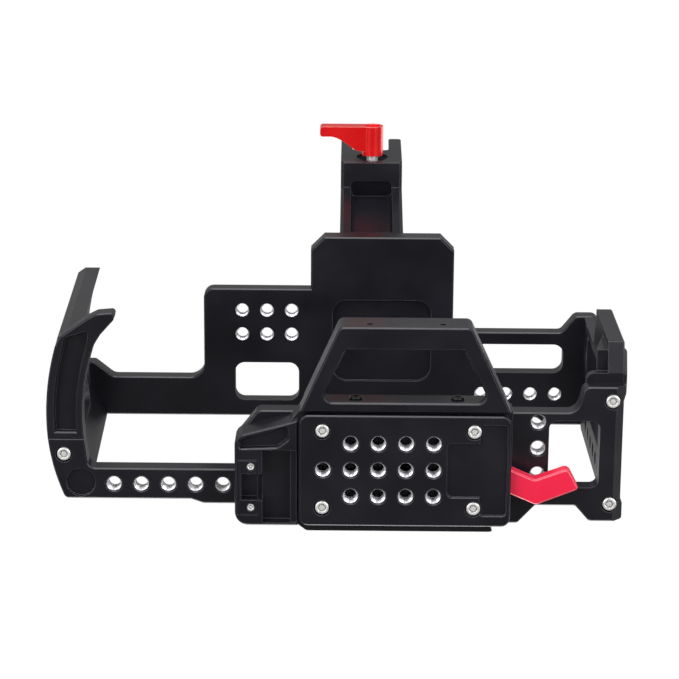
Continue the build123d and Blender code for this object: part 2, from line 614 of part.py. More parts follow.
with BuildPart() as bottom_frame:
    with BuildSketch(Plane.XY.offset(FRAME_Z)):
        # bar with accessory holes, and its curved end under the left arm
        with BuildLine():
            ThreePointArc(
                arm_point(REAR_Y, 0),
                arm_point((REAR_Y + ARM_SEAM_Y) / 2, 0),
                arm_point(ARM_SEAM_Y, 0),
            )
            FilletPolyline(
                arm_point(ARM_SEAM_Y, 0),
                arm_point(ARM_SEAM_Y, ARM_FOOT_W),
                (arm_x(ARM_SEAM_Y, ARM_FOOT_W) + 1.4, BAR_FRONT_Y),
                (-60.0, BAR_FRONT_Y),
                (-60.0, 17.8),
                (-74.0, 17.8),
                (-78.5, REAR_Y),
                arm_point(REAR_Y, 0),
                radius=[0, 3.0, 0, 0, 3.0, 3.0],
            )
        make_face()
        # middle over the block, and the side with the window
        with BuildLine():
            FilletPolyline(
                (-62.0, -8.0),
                (-54.0, SIDE_FRONT_Y),
                (62.4, SIDE_FRONT_Y),
                (64.9, WING_FRONT_Y),
                (RIGHT_X + RIM_OUT, WING_FRONT_Y),
                (RIGHT_X + RIM_OUT, WING_FRONT_Y + 3.6),
                (RIGHT_X - RIM_OUT, WING_FRONT_Y + 6.0),
                (RIGHT_X - RIM_OUT, WING_REAR_Y - 8.4),
                (RIGHT_X + RIM_OUT, WING_REAR_Y - 6.0),
                (RIGHT_X + RIM_OUT, WING_REAR_Y),
                (68.0, WING_REAR_Y),
                (62.8, 17.5),
                (48.0, 17.5),
                (41.5, BLOCK_REAR),
                (-54.0, BLOCK_REAR),
                (-62.0, 17.8),
                radius=[1.5, 3.0, 4.5, 3.0, 0.8, 0, 0, 0, 0, 0.8, 2.0, 2.0, 1.0, 2.0, 3.0, 1.0],
                close=True,
            )
        make_face()
    extrude(amount=FRAME_T)
    # round corner at the bar's end, broken lower edges, a wide chamfer along the socket side
    bar_corner = Vertex(*arm_point(REAR_Y, 0), FRAME_Z + FRAME_T / 2)
    fillet(bottom_frame.edges().filter_by(Axis.Z).sort_by_distance(bar_corner)[0], CORNER_R)
    chamfer(bottom_frame.edges().group_by(Axis.Z)[0], EDGE)
    with BuildSketch(Plane(origin=(0, WING_REAR_Y + 1, 0), x_dir=(1, 0, 0), z_dir=(0, -1, 0))):
        with BuildLine():
            Polyline(
                (RIGHT_X - RIM_CHAMFER, FRAME_Z),
                (RIGHT_X + 1.0, FRAME_Z - 1.0),
                (RIGHT_X + 1.0, FRAME_Z + RIM_CHAMFER + 1.0),
                close=True,
            )
        make_face()
    extrude(amount=WING_REAR_Y - WING_FRONT_Y + 2, mode=Mode.SUBTRACT)
    with BuildSketch(Plane.XY.offset(FRAME_Z)):
        with Locations(((SIDE_WINDOW[0] + SIDE_WINDOW[1]) / 2, (SIDE_WINDOW[2] + SIDE_WINDOW[3]) / 2)):
            RectangleRounded(SIDE_WINDOW[1] - SIDE_WINDOW[0], SIDE_WINDOW[3] - SIDE_WINDOW[2], 3.0)
    extrude(amount=FRAME_T, mode=Mode.SUBTRACT)
    with Locations(*[from_below(x, y, FRAME_Z) for x, y in bar_places + side_places]):
        CounterSinkHole(QUARTER_R, QUARTER_MOUTH_R, depth=FRAME_T)
    # blind spot face at the bar's end, the left arm's screw and dowel
    with Locations(from_below(arm_x(9.9, 7.8), 9.9, FRAME_Z)):
        Hole(5.4, depth=1.4)
    with Locations(from_below(*LEFT_SCREW, FRAME_Z)):
        CounterBoreHole(M3_R + 0.1, M3_HEAD_R + HEAD_GAP, M3_HEAD_H - 0.4, depth=FRAME_T)
    with Locations((*LEFT_DOWEL, BAY_Z)):
        Hole(M3_R, depth=4.0)
    with Locations(*[from_below(RIGHT_SCREW_X, y, FRAME_Z) for y in RIGHT_SCREW_Y]):
        CounterBoreHole(M3_R + 0.1, M3_HEAD_R + HEAD_GAP, M3_HEAD_H - 0.4, depth=FRAME_T)
    # camera screw, its clip, the locating pins and the screws of the block
    with Locations((0, 0, BAY_Z)):
        CounterBoreHole(CAMERA_SCREW_R + FIT, 5.3, 1.2, depth=FRAME_T)
    with Locations((0, -13.0, BAY_Z), (0, 13.0, BAY_Z)):
        Hole(M3_R, depth=5.0)
    with Locations(*[from_below(x, y, FRAME_Z) for x, y in BLOCK_SCREWS]):
        Hole(M3_R, depth=5.0)
    # the lock slide's nose moves in this pocket
    box_between(
        (LOCK_LEFT - SLIDE, LOCK_LEFT + LOCK_NOSE_L + CAM_TRAVEL + LOOSE),
        (LOCK_Y[0] - SLIDE, LOCK_Y[1] + SLIDE),
        (FRAME_Z, LOCK_Z + LOCK_T + LOCK_NOSE_H + LOOSE),
        mode=Mode.SUBTRACT,
    )
bottom_frame.part.label = "bottom_frame"
export_step(bottom_frame.part, "parts/bottom_frame.step")

# ---------------------------------------------------------------- camera screw and seat

CAMERA_HEAD_Z = RELIEF_FLOOR + 4.9 - CAMERA_HEAD_H
CAMERA_THREAD_Z = BAY_Z + PAD_T + 0.2
with BuildPart() as camera_screw:
    with Locations((0, 0, CAMERA_HEAD_Z)):
        Cylinder(CAMERA_HEAD_R, CAMERA_HEAD_H, align=(MID, MID, LOW))
    chamfer(camera_screw.edges(), EDGE)
    # a thin neck, so that the screw stays in its bore, and the thread above the seat
    with Locations((0, 0, CAMERA_HEAD_Z + CAMERA_HEAD_H)):
        Cylinder(CAMERA_NECK_R, CAMERA_THREAD_Z - CAMERA_HEAD_Z - CAMERA_HEAD_H, align=(MID, MID, LOW))
    with Locations((0, 0, CAMERA_THREAD_Z)):
        Cylinder(CAMERA_SCREW_R, BAY_Z + PAD_T + CAMERA_REACH - CAMERA_THREAD_Z, align=(MID, MID, LOW))
    chamfer(camera_screw.edges().group_by(Axis.Z)[-1], EDGE)
    box_between((-8, 8), (-0.8, 0.8), (CAMERA_HEAD_Z - 1, CAMERA_HEAD_Z + 1.6), mode=Mode.SUBTRACT)
camera_screw.part.label = "camera_screw"
export_step(camera_screw.part, "parts/camera_screw.step")

with BuildPart() as camera_screw_clip:
    with BuildSketch(Plane.XY.offset(BAY_Z - 1.0)):
        Circle(4.9)
        Circle(CAMERA_NECK_R + 0.03, mode=Mode.SUBTRACT)
        with Locations((4, 0)):
            Rectangle(5, 2.6, mode=Mode.SUBTRACT)
    extrude(amount=0.7)
camera_screw_clip.part.label = "camera_screw_clip"
export_step(camera_screw_clip.part, "parts/camera_screw_clip.step")

with BuildPart() as locating_pins:
    with Locations((0, -13.0, BAY_Z - 4.8), (0, 13.0, BAY_Z - 4.8)):
        Cylinder(M3_R - 0.02, 4.8 + PAD_T + 2.2, align=(MID, MID, LOW))
    chamfer(locating_pins.edges().group_by(Axis.Z)[-1], 0.4)
locating_pins.part.label = "locating_pins"
export_step(locating_pins.part, "parts/locating_pins.step")

with BuildPart() as camera_pads:
    with BuildSketch(Plane.XY.offset(BAY_Z)):
        with Locations((-24.0, 0), (24.0, 0)):
            RectangleRounded(26.0, 30.0, 2.0)
    extrude(amount=PAD_T)
camera_pads.part.label = "camera_pads"
export_step(camera_pads.part, "parts/camera_pads.step")

# ---------------------------------------------------------------- left arm

ARM_WINDOW = (-34.0, 4.0, BAY_Z + 14.0, TOP_Z - 18.0)
ARM_TOP_SHIFT = -math.tan(math.radians(ARM_LEAN)) * (TOP_Z - FRAME_Z)
LEFT_TOP_SCREW_Y = (3.0, 11.5)
top_left_places = [arm_point(y, ARM_WALL / 2, ARM_TOP_SHIFT) for y in LEFT_TOP_SCREW_Y]

# side outline of the wall, and the wall itself, which leans out from the foot
with BuildPart() as left_wall_outline:
    with BuildSketch(side_profile(LEFT_X - 10)):
        with BuildLine():
            FilletPolyline(
                (ARM_FRONT_Y, BAY_Z),
                (ARM_FRONT_Y, TOP_Z),
                (REAR_Y, TOP_Z),
                (REAR_Y, BAY_Z),
                radius=[0, 1.2, 0, 0],
                close=True,
            )
        make_face()
    extrude(amount=40)

with BuildPart() as left_wall_upright:
    with BuildSketch(Plane.XY.offset(FRAME_Z)):
        with BuildLine():
            ThreePointArc(
                arm_point(REAR_Y, 0),
                arm_point((REAR_Y + ARM_MID_Y) / 2, 0),
                arm_point(ARM_MID_Y, 0),
            )
            ThreePointArc(
                arm_point(ARM_MID_Y, 0),
                arm_point(-30.0, 0),
                arm_point(ARM_FRONT_Y, 0),
            )
            Line(arm_point(ARM_FRONT_Y, 0), arm_point(ARM_FRONT_Y, ARM_WALL))
            ThreePointArc(
                arm_point(ARM_FRONT_Y, ARM_WALL),
                arm_point(-30.0, ARM_WALL),
                arm_point(ARM_MID_Y, ARM_WALL),
            )
            ThreePointArc(
                arm_point(ARM_MID_Y, ARM_WALL),
                arm_point((REAR_Y + ARM_MID_Y) / 2, ARM_WALL),
                arm_point(REAR_Y, ARM_WALL),
            )
            Line(arm_point(REAR_Y, ARM_WALL), arm_point(REAR_Y, 0))
        make_face()
    extrude(amount=TOP_Z - FRAME_Z + 5.0)
    front_edges = left_wall_upright.edges().filter_by(Axis.Z).group_by(Axis.Y)[0]
    rear_edges = left_wall_upright.edges().filter_by(Axis.Z).group_by(Axis.Y)[-1]
    chamfer(front_edges.sort_by(Axis.X)[0], ARM_EDGE)
    fillet(rear_edges.sort_by(Axis.X)[0], CORNER_R)

with BuildPart() as left_wall:
    add(left_wall_upright.part.rotate(Axis((LEFT_X, 0, FRAME_Z), (0, 1, 0)), -ARM_LEAN))
    add(left_wall_outline.part, mode=Mode.INTERSECT)

with BuildPart() as left_arm:
    # foot: the curved strip beside the bottom frame, with its hooked front
    with BuildSketch(Plane.XY.offset(FRAME_Z)):
        with BuildLine():
            ThreePointArc(
                arm_point(ARM_SEAM_Y, 0),
                arm_point(-24.0, 0),
                arm_point(ARM_TIP_Y + 2.6, 0),
            )
            FilletPolyline(
                arm_point(ARM_TIP_Y + 2.6, 0),
                (arm_x(ARM_TIP_Y, 0) + 1.0, ARM_TIP_Y - 1.0),
                (LEFT_X + 15.5, -52.2),
                (LEFT_X + 19.2, -54.1),
                (LEFT_X + 25.8, -54.7),
                (LEFT_X + 25.3, -51.8),
                (LEFT_X + 20.4, -46.3),
                arm_point(ARM_TIP_Y + 2.0, ARM_FOOT_W),
                radius=[2.0, 2.0, 2.0, 1.2, 1.0, 2.0],
            )
            ThreePointArc(
                arm_point(ARM_TIP_Y + 2.0, ARM_FOOT_W),
                arm_point(-24.0, ARM_FOOT_W),
                arm_point(ARM_SEAM_Y, ARM_FOOT_W),
            )
            Line(arm_point(ARM_SEAM_Y, ARM_FOOT_W), arm_point(ARM_SEAM_Y, 0))
        make_face()
    extrude(amount=FRAME_T)
    chamfer(left_arm.edges().group_by(Axis.Z)[0], 0.4)
    # pocket in the foot's lower face
    with BuildSketch(Plane.XY.offset(FRAME_Z)):
        with BuildLine():
            ThreePointArc(
                arm_point(ARM_SEAM_Y - 2.5, FOOT_RIM),
                arm_point(-24.0, FOOT_RIM),
                arm_point(ARM_TIP_Y + 5.0, FOOT_RIM),
            )
            FilletPolyline(
                arm_point(ARM_TIP_Y + 5.0, FOOT_RIM),
                (LEFT_X + 7.6, ARM_TIP_Y - 0.6),
                (LEFT_X + 15.6, ARM_TIP_Y - 3.2),
                arm_point(ARM_TIP_Y + 3.0, FOOT_INNER),
                radius=[1.5, 0.8],
            )
            ThreePointArc(
                arm_point(ARM_TIP_Y + 3.0, FOOT_INNER),
                arm_point(-24.0, FOOT_INNER),
                arm_point(ARM_SEAM_Y - 2.5, FOOT_INNER),
            )
            Line(arm_point(ARM_SEAM_Y - 2.5, FOOT_INNER), arm_point(ARM_SEAM_Y - 2.5, FOOT_RIM))
        make_face()
    extrude(amount=FOOT_POCKET_D, mode=Mode.SUBTRACT)
    chamfer(left_arm.edges(Select.LAST).group_by(Axis.Z)[0], EDGE)
    add(left_wall.part)
    # window for the hand
    with BuildSketch(side_profile(LEFT_X - 10)):
        with Locations(((ARM_WINDOW[0] + ARM_WINDOW[1]) / 2, (ARM_WINDOW[2] + ARM_WINDOW[3]) / 2)):
            RectangleRounded(ARM_WINDOW[1] - ARM_WINDOW[0], ARM_WINDOW[3] - ARM_WINDOW[2], 9.0)
    extrude(amount=40, mode=Mode.SUBTRACT)
    # strap hole near the front corner
    with Locations(from_right(LEFT_X + 20, ARM_FRONT_Y + 5.0, TOP_Z - 8.0)):
        Hole(1.8, depth=30)
    with Locations(from_below(*LEFT_SCREW, BAY_Z), from_below(*LEFT_DOWEL, BAY_Z)):
        Hole(M3_R, depth=9.0)
    with Locations(*[(x, y, TOP_Z) for x, y in top_left_places]):
        Hole(M3_R, depth=9.0)
left_arm.part.label = "left_arm"
export_step(left_arm.part, "parts/left_arm.step")

left_screw = socket_screw(M3_HEAD_R, M3_HEAD_H - 0.6, M3_R, FRAME_T - M3_HEAD_H + 9.0, M3_SOCKET)
with BuildPart() as left_arm_screw:
    with Locations(from_below(*LEFT_SCREW, FRAME_Z + 0.2)):
        add(left_screw)
left_arm_screw.part.label = "left_arm_screw"
export_step(left_arm_screw.part, "parts/left_arm_screw.step")

with BuildPart() as left_arm_dowel:
    with Locations((*LEFT_DOWEL, BAY_Z - 3.9)):
        Cylinder(M3_R - 0.02, 3.9 + 7.0, align=(MID, MID, LOW))
left_arm_dowel.part.label = "left_arm_dowel"
export_step(left_arm_dowel.part, "parts/left_arm_dowel.step")

# ---------------------------------------------------------------- right arm

POST_TOP = BAY_Z + RIGHT_POST_H
SOCKET_WINDOW = (-24.0, 6.0, BAY_Z + 12.0, TOP_Z - 16.0)
RIGHT_TOP_SCREW_X = RIGHT_X - 3.8
RIGHT_TOP_SCREW_Y = (-20.0, 13.0)
SIDE_COLUMN_Y = 13.0
with BuildPart() as right_arm:
    with BuildSketch(side_profile(RIGHT_X - RIGHT_WALL)):
        with BuildLine():
            FilletPolyline(
                (RIGHT_FOOT_Y, BAY_Z),
                (RIGHT_REAR_Y, BAY_Z),
                (RIGHT_REAR_Y, TOP_Z),
                (RIGHT_UPPER_Y, TOP_Z),
                (RIGHT_UPPER_Y, POST_TOP + 6.0),
                (RIGHT_FRONT_Y + 4.0, POST_TOP),
                (RIGHT_FRONT_Y, POST_TOP),
                (RIGHT_FRONT_Y, BAY_Z + 4.0),
                radius=[0, 0, 3.0, 3.0, 4.0, 3.0, 0.6, 0.6],
                close=True,
            )
        make_face()
    extrude(amount=RIGHT_WALL)
    # foot flange over the bottom frame's wing
    with BuildSketch(Plane.XY.offset(BAY_Z)):
        with BuildLine():
            FilletPolyline(
                (RIGHT_X - 14.0, RIGHT_FOOT_Y),
                (RIGHT_X, RIGHT_FOOT_Y),
                (RIGHT_X, SIDE_FRONT_Y),
                (RIGHT_X - 14.0, SIDE_FRONT_Y),
                radius=[3.0, 0, 0, 1.5],
                close=True,
            )
        make_face()
    extrude(amount=3.5)
    chamfer(right_arm.faces().sort_by(Axis.X)[-1].outer_wire().edges(), EDGE)
    # gusset between the front post and the flange
    with BuildSketch(Plane(origin=(0, RIGHT_FOOT_Y, 0), x_dir=(1, 0, 0), z_dir=(0, -1, 0))):
        with BuildLine():
            Polyline(
                (RIGHT_X - RIGHT_WALL + 0.5, BAY_Z + 3.0),
                (RIGHT_X - RIGHT_WALL - GUSSET_W, BAY_Z + 3.0),
                (RIGHT_X - RIGHT_WALL - GUSSET_W, BAY_Z + 5.0),
                (RIGHT_X - RIGHT_WALL, BAY_Z + GUSSET_H),
                (RIGHT_X - RIGHT_WALL + 0.5, BAY_Z + GUSSET_H),
                close=True,
            )
        make_face()
    extrude(amount=RIGHT_FOOT_Y - RIGHT_FRONT_Y - 3.0)
    # thicker corner round the front screw
    with BuildSketch(side_profile(RIGHT_X - 0.6)):
        with BuildLine():
            Polyline(
                (RIGHT_FRONT_Y + 3.0, BAY_Z + 3.4),
                (RIGHT_FOOT_Y + 0.6, BAY_Z),
                (RIGHT_FOOT_Y + 9.0, BAY_Z),
                (RIGHT_FOOT_Y + 7.0, BAY_Z + 8.0),
                (RIGHT_FRONT_Y + 3.0, BAY_Z + 8.0),
                close=True,
            )
        make_face()
    extrude(amount=1.6, taper=30)
    with BuildSketch(side_profile(RIGHT_X - RIGHT_WALL - 1)):
        with Locations(
            ((SOCKET_WINDOW[0] + SOCKET_WINDOW[1]) / 2, (SOCKET_WINDOW[2] + SOCKET_WINDOW[3]) / 2)
        ):
            RectangleRounded(
                SOCKET_WINDOW[1] - SOCKET_WINDOW[0], SOCKET_WINDOW[3] - SOCKET_WINDOW[2], 5.0
            )
    extrude(amount=RIGHT_WALL + 2, mode=Mode.SUBTRACT)
    with Locations(*[from_right(RIGHT_X, SIDE_COLUMN_Y, BAY_Z + 16.0 + i * PITCH) for i in range(7)]):
        CounterSinkHole(QUARTER_R, QUARTER_MOUTH_R, depth=RIGHT_WALL)
    with Locations(*[from_below(RIGHT_SCREW_X, y, BAY_Z) for y in RIGHT_SCREW_Y]):
        Hole(M3_R, depth=8.0)
    with Locations(*[(RIGHT_TOP_SCREW_X, y, TOP_Z) for y in RIGHT_TOP_SCREW_Y]):
        Hole(M3_R, depth=9.0)
right_arm.part.label = "right_arm"
export_step(right_arm.part, "parts/right_arm.step")

with BuildPart() as right_arm_screws:
    with Locations(*[from_below(RIGHT_SCREW_X, y, FRAME_Z + 0.2) for y in RIGHT_SCREW_Y]):
        add(socket_screw(M3_HEAD_R, M3_HEAD_H - 0.6, M3_R, FRAME_T - M3_HEAD_H + 8.0, M3_SOCKET))
right_arm_screws.part.label = "right_arm_screws"
export_step(right_arm_screws.part, "parts/right_arm_screws.step")

# ---------------------------------------------------------------- top plate

top_screw_places = top_left_places + [(RIGHT_TOP_SCREW_X, y) for y in RIGHT_TOP_SCREW_Y]
rail_screw_places = [(RAIL_X, RAIL_Y[0] + 9.0), (RAIL_X, RAIL_Y[1] - 9.0)]
top_places = [(TOP_HOLES[0] + i * PITCH, TOP_HOLES[1] + j * PITCH) for i in range(3) for j in range(2)]
top_places += [(33.0 + i * PITCH, 6.0) for i in range(4)]

with BuildPart() as top_plate:
    with BuildSketch(Plane.XY.offset(TOP_Z)):
        with BuildLine():
            ThreePointArc(
                arm_point(REAR_Y, 0, ARM_TOP_SHIFT),
                arm_point((REAR_Y + TOP_END_Y) / 2, 0, ARM_TOP_SHIFT),
                arm_point(TOP_END_Y, 0, ARM_TOP_SHIFT),
            )
            FilletPolyline(
                arm_point(TOP_END_Y, 0, ARM_TOP_SHIFT),
                arm_point(TOP_END_Y, ARM_WALL + 2.0, ARM_TOP_SHIFT),
                (arm_x(TOP_END_Y, ARM_WALL + 6.0), STRAP_FRONT_Y),
                (TOP_LEFT_X, STRAP_FRONT_Y),
                (TOP_LEFT_X, TOP_FRONT_Y),
                (NOSE_X[0] + 4, TOP_FRONT_Y),
                (NOSE_X[1] + 4, TOP_RIGHT_FRONT_Y),
                (RIGHT_X - 15.0, TOP_RIGHT_FRONT_Y),
                (RIGHT_X - 9.5, RIGHT_UPPER_Y),
                (RIGHT_X, RIGHT_UPPER_Y),
                (RIGHT_X, REAR_Y + 3.0),
                (RIGHT_X - 20.0, REAR_Y + 3.0),
                (RIGHT_X - 24.0, REAR_Y),
                arm_point(REAR_Y, 0, ARM_TOP_SHIFT),
                radius=[2.0, 4.0, 6.0, 4.0, 0, 0, 3.0, 3.0, 3.0, 3.0, 3.0, 3.0],
            )
        make_face()
    extrude(amount=TOP_T)
    # nose over the lens, thicker, and long enough to carry the whole rail
    with BuildSketch(Plane.XY.offset(TOP_Z)):
        with BuildLine():
            Polyline(
                (NOSE_X[0] + NOSE_CHAMFER, NOSE_FRONT_Y),
                (NOSE_X[1] - NOSE_CHAMFER, NOSE_FRONT_Y),
                (NOSE_X[1], NOSE_FRONT_Y + NOSE_CHAMFER),
                (NOSE_X[1], REAR_Y),
                (NOSE_X[0], REAR_Y),
                (NOSE_X[0], NOSE_FRONT_Y + NOSE_CHAMFER),
                close=True,
            )
        make_face()
    extrude(amount=NOSE_T)
    chamfer(top_plate.edges().group_by(Axis.Z)[0] + top_plate.edges().group_by(Axis.Z)[-1], EDGE)
    # windows that save weight on both sides of the nose
    with BuildSketch(Plane.XY.offset(TOP_Z)):
        with Locations((TOP_HOLES[0] + PITCH, 1.5)):
            RectangleRounded(26.0, 16.0, 4.0)
        with Locations((48.0, -9.0)):
            RectangleRounded(36.0, 12.0, 4.0)
    extrude(amount=TOP_T, mode=Mode.SUBTRACT)
    with Locations(*[(x, y, TOP_Z + TOP_T) for x, y in top_places]):
        CounterSinkHole(QUARTER_R, QUARTER_MOUTH_R, depth=TOP_T)
    with Locations(*[(x, y, TOP_Z + TOP_T) for x, y in top_screw_places]):
        CounterBoreHole(M3_R + 0.1, M3_HEAD_R + HEAD_GAP, M3_HEAD_H + 0.2, depth=TOP_T)
    with Locations(*[(x, y, NOSE_Z) for x, y in rail_screw_places]):
        Hole(M4_R, depth=7.0)
    # weight pocket under the nose, open towards the lens hump
    with BuildSketch(Plane.XY.offset(TOP_Z)):
        with Locations(((NOSE_X[0] + NOSE_X[1]) / 2, -16.0)):
            RectangleRounded(40.0, 34.0, 6.0)
    extrude(amount=1.6, mode=Mode.SUBTRACT)
top_plate.part.label = "top_plate"
export_step(top_plate.part, "parts/top_plate.step")

with BuildPart() as top_plate_screws:
    with Locations(*[(x, y, TOP_Z + TOP_T - 0.2) for x, y in top_screw_places]):
        add(socket_screw(M3_HEAD_R, M3_HEAD_H, M3_R, TOP_T - M3_HEAD_H + 8.0, M3_SOCKET))
top_plate_screws.part.label = "top_plate_screws"
export_step(top_plate_screws.part, "parts/top_plate_screws.step")

# ---------------------------------------------------------------- top rail

NECK_H = 2.6
RAIL_NECK_W = RAIL_W - 2 * RAIL_FLARE


def rail_points(grow=0.0):
    """The rail's section, upright on the nose, grown evenly for the parts that slide on it."""
    half = RAIL_W / 2 + grow
    neck = RAIL_NECK_W / 2 + grow
    low = NOSE_Z + NECK_H - grow * 0.41
    high = NOSE_Z + NECK_H + RAIL_FLARE + 0.6 + grow * 0.41
    crown = RAIL_H - NECK_H - RAIL_FLARE - 0.6
    right_side = [
        (neck, NOSE_Z),
        (neck, low),
        (half, low + RAIL_FLARE),
        (half, high),
        (half - crown, NOSE_Z + RAIL_H + grow),
    ]
    left_side = [(-x, z) for x, z in reversed(right_side)]
    return [(RAIL_X + x, z) for x, z in right_side + left_side]


across_front = Plane(origin=(0, RAIL_Y[0], 0), x_dir=(1, 0, 0), z_dir=(0, -1, 0))
with BuildPart() as top_rail:
    with BuildSketch(across_front):
        with BuildLine():
            Polyline(*rail_points(), close=True)
        make_face()
    extrude(amount=-(RAIL_Y[1] - RAIL_Y[0]))
    chamfer(top_rail.edges().group_by(Axis.Y)[0] + top_rail.edges().group_by(Axis.Y)[-1], 0.4)
    # recoil slots across the top
    with Locations(*[(RAIL_X, RAIL_Y[0] + 18.0 + i * 6.0, NOSE_Z + RAIL_H) for i in range(6)]):
        Box(RAIL_W, 2.6, 2.0, align=(MID, MID, MID), mode=Mode.SUBTRACT)
    with Locations(*[(x, y, NOSE_Z + RAIL_H) for x, y in rail_screw_places]):
        CounterBoreHole(M4_R + 0.1, M4_HEAD_R + HEAD_GAP, M4_HEAD_H + 0.6, depth=RAIL_H)
top_rail.part.label = "top_rail"
export_step(top_rail.part, "parts/top_rail.step")

with BuildPart() as top_rail_screws:
    with Locations(*[(x, y, NOSE_Z + RAIL_H - 0.6) for x, y in rail_screw_places]):
        add(socket_screw(M4_HEAD_R, M4_HEAD_H, M4_R, RAIL_H - 4.6 + 6.0, M4_SOCKET))
top_rail_screws.part.label = "top_rail_screws"
export_step(top_rail_screws.part, "parts/top_rail_screws.step")

# ---------------------------------------------------------------- handle

BASE_TOP = NOSE_Z + RAIL_H + BASE_H
HANDLE_X = (RAIL_X - HANDLE_W / 2, RAIL_X + HANDLE_W / 2)
GRIP_TOP = HANDLE_Z + GRIP_T
JAW_X = RAIL_X + RAIL_W / 2 - 2.6
CLAMP_SCREW_Z = NOSE_Z + RAIL_H + 3.5
CLAMP_SCREW_Y = (RAIL_Y[0] + BASE_END_Y) / 2
CLAMP_AXIS = (RAIL_X + 0.3, HANDLE_Z + CLAMP_AXIS_H)
leg_slope = math.tan(math.radians(LEG_LEAN))
head_slope = math.tan(math.radians(HEAD_LEAN))
PLATE_BACK_Y = HEAD_FRONT_Y + CLAMP_PLATE_T
SEAT_END_Y = PLATE_BACK_Y + CLAMP_SEAT_W


def leg_y(z, back=0.0):
    """Y of the leaning leg's front face at this height, plus a distance behind it."""
    return LEG_FRONT_Y + (HANDLE_Z - z) * leg_slope + back


# across the leg, at the height of the head's underside
leg_section = Plane(
    origin=(RAIL_X, LEG_FRONT_Y, HANDLE_Z),
    x_dir=(1, 0, 0),
    z_dir=(0, -math.sin(math.radians(LEG_LEAN)), math.cos(math.radians(LEG_LEAN))),
)

with BuildPart() as handle_frame:
    # side outline: base on the rail, leaning leg, head and grip
    with BuildSketch(side_profile(HANDLE_X[0])):
        with BuildLine():
            FilletPolyline(
                (leg_y(NOSE_Z + LOOSE), NOSE_Z + LOOSE),
                (BASE_END_Y, NOSE_Z + LOOSE),
                (BASE_END_Y, BASE_TOP),
                (leg_y(BASE_TOP, LEG_T + 3.0), BASE_TOP),
                (leg_y(HANDLE_Z, LEG_T), HANDLE_Z),
                (GRIP_END_Y, HANDLE_Z),
                (GRIP_END_Y, GRIP_TOP),
                (HEAD_FRONT_Y, GRIP_TOP),
                (HEAD_FRONT_Y, HANDLE_Z),
                (LEG_FRONT_Y, HANDLE_Z),
                radius=[0, 0, 2.0, 8.0, 9.0, 5.0, 5.0, 0, 0, 0],
                close=True,
            )
        make_face()
    extrude(amount=HANDLE_W)
    # broken long edges
    chamfer(handle_frame.faces().sort_by(Axis.X)[0].edges(), 1.2)
    chamfer(handle_frame.faces().sort_by(Axis.X)[-1].edges(), 1.2)
    # pocket down the leg's front face; its round end is let into the underside of the head
    with BuildSketch(leg_section.offset(1.6)):
        with Locations((0, -2.6)):
            RectangleRounded(LEG_POCKET_W, LEG_POCKET_D + 2.6, 2.2, align=(MID, LOW))
    extrude(amount=-LEG_POCKET_L, mode=Mode.SUBTRACT)
    # the base's rail seat, cut back on the moving jaw's side
    with BuildSketch(across_front.offset(5.0)):
        with BuildLine():
            Polyline(*rail_points(SLIDE), close=True)
        make_face()
    extrude(amount=-(RAIL_Y[1] - RAIL_Y[0]), mode=Mode.SUBTRACT)
    box_between(
        (JAW_X, HANDLE_X[1] + 1),
        (RAIL_Y[0] - 5, BASE_END_Y + 1),
        (NOSE_Z, NOSE_Z + RAIL_H + 0.4),
        mode=Mode.SUBTRACT,
    )
    box_between(
        (HANDLE_X[1] - JAW_T + 1.0, HANDLE_X[1] + 1),
        (RAIL_Y[0] - 1, BASE_END_Y + 1),
        (NOSE_Z, BASE_TOP - 2.0),
        mode=Mode.SUBTRACT,
    )
    with Locations(from_right(HANDLE_X[1] - JAW_T + 1.0, CLAMP_SCREW_Y, CLAMP_SCREW_Z)):
        Hole(M4_R, depth=14.0)
    # seat of the accessory clamp: a step for the moving plate, a hooked lip at the back
    box_between(
        (HANDLE_X[0] - 1, HANDLE_X[1] + 1),
        (HEAD_FRONT_Y - 1, PLATE_BACK_Y + CLAMP_OPEN),
        (HANDLE_Z + CLAMP_LIP, GRIP_TOP + 1),
        mode=Mode.SUBTRACT,
    )
    with BuildSketch(side_profile(HANDLE_X[0])):
        with BuildLine():
            Polyline(
                (SEAT_END_Y, GRIP_TOP - 0.01),
                (SEAT_END_Y + 6.0, GRIP_TOP - 0.01),
                (SEAT_END_Y + 4.5, GRIP_TOP + 4.6),
                (SEAT_END_Y, GRIP_TOP + 4.6),
                (SEAT_END_Y - 1.6, GRIP_TOP + 3.6),
                (SEAT_END_Y - 1.6, GRIP_TOP + 3.0),
                (SEAT_END_Y, GRIP_TOP + 1.4),
                close=True,
            )
        make_face()
    extrude(amount=HANDLE_W)
    with Locations(from_front(*(CLAMP_AXIS[0], PLATE_BACK_Y, CLAMP_AXIS[1]))):
        Hole(CLAMP_SCREW_R + FIT, depth=16.0)
    # accessory holes along the grip
    with Locations(*[(RAIL_X, -28.0 + i * 2 * PITCH, GRIP_TOP) for i in range(4)]):
        CounterSinkHole(QUARTER_R, QUARTER_MOUTH_R, depth=9.0)
    # seat of the soft pad under the grip
    box_between(
        (RAIL_X - 9.0, RAIL_X + 9.0),
        (leg_y(HANDLE_Z, LEG_T) + 14.0, GRIP_END_Y - 8.0),
        (HANDLE_Z - 1, HANDLE_Z + 3.0),
        mode=Mode.SUBTRACT,
    )
handle_frame.part.label = "handle_frame"
export_step(handle_frame.part, "parts/handle_frame.step")

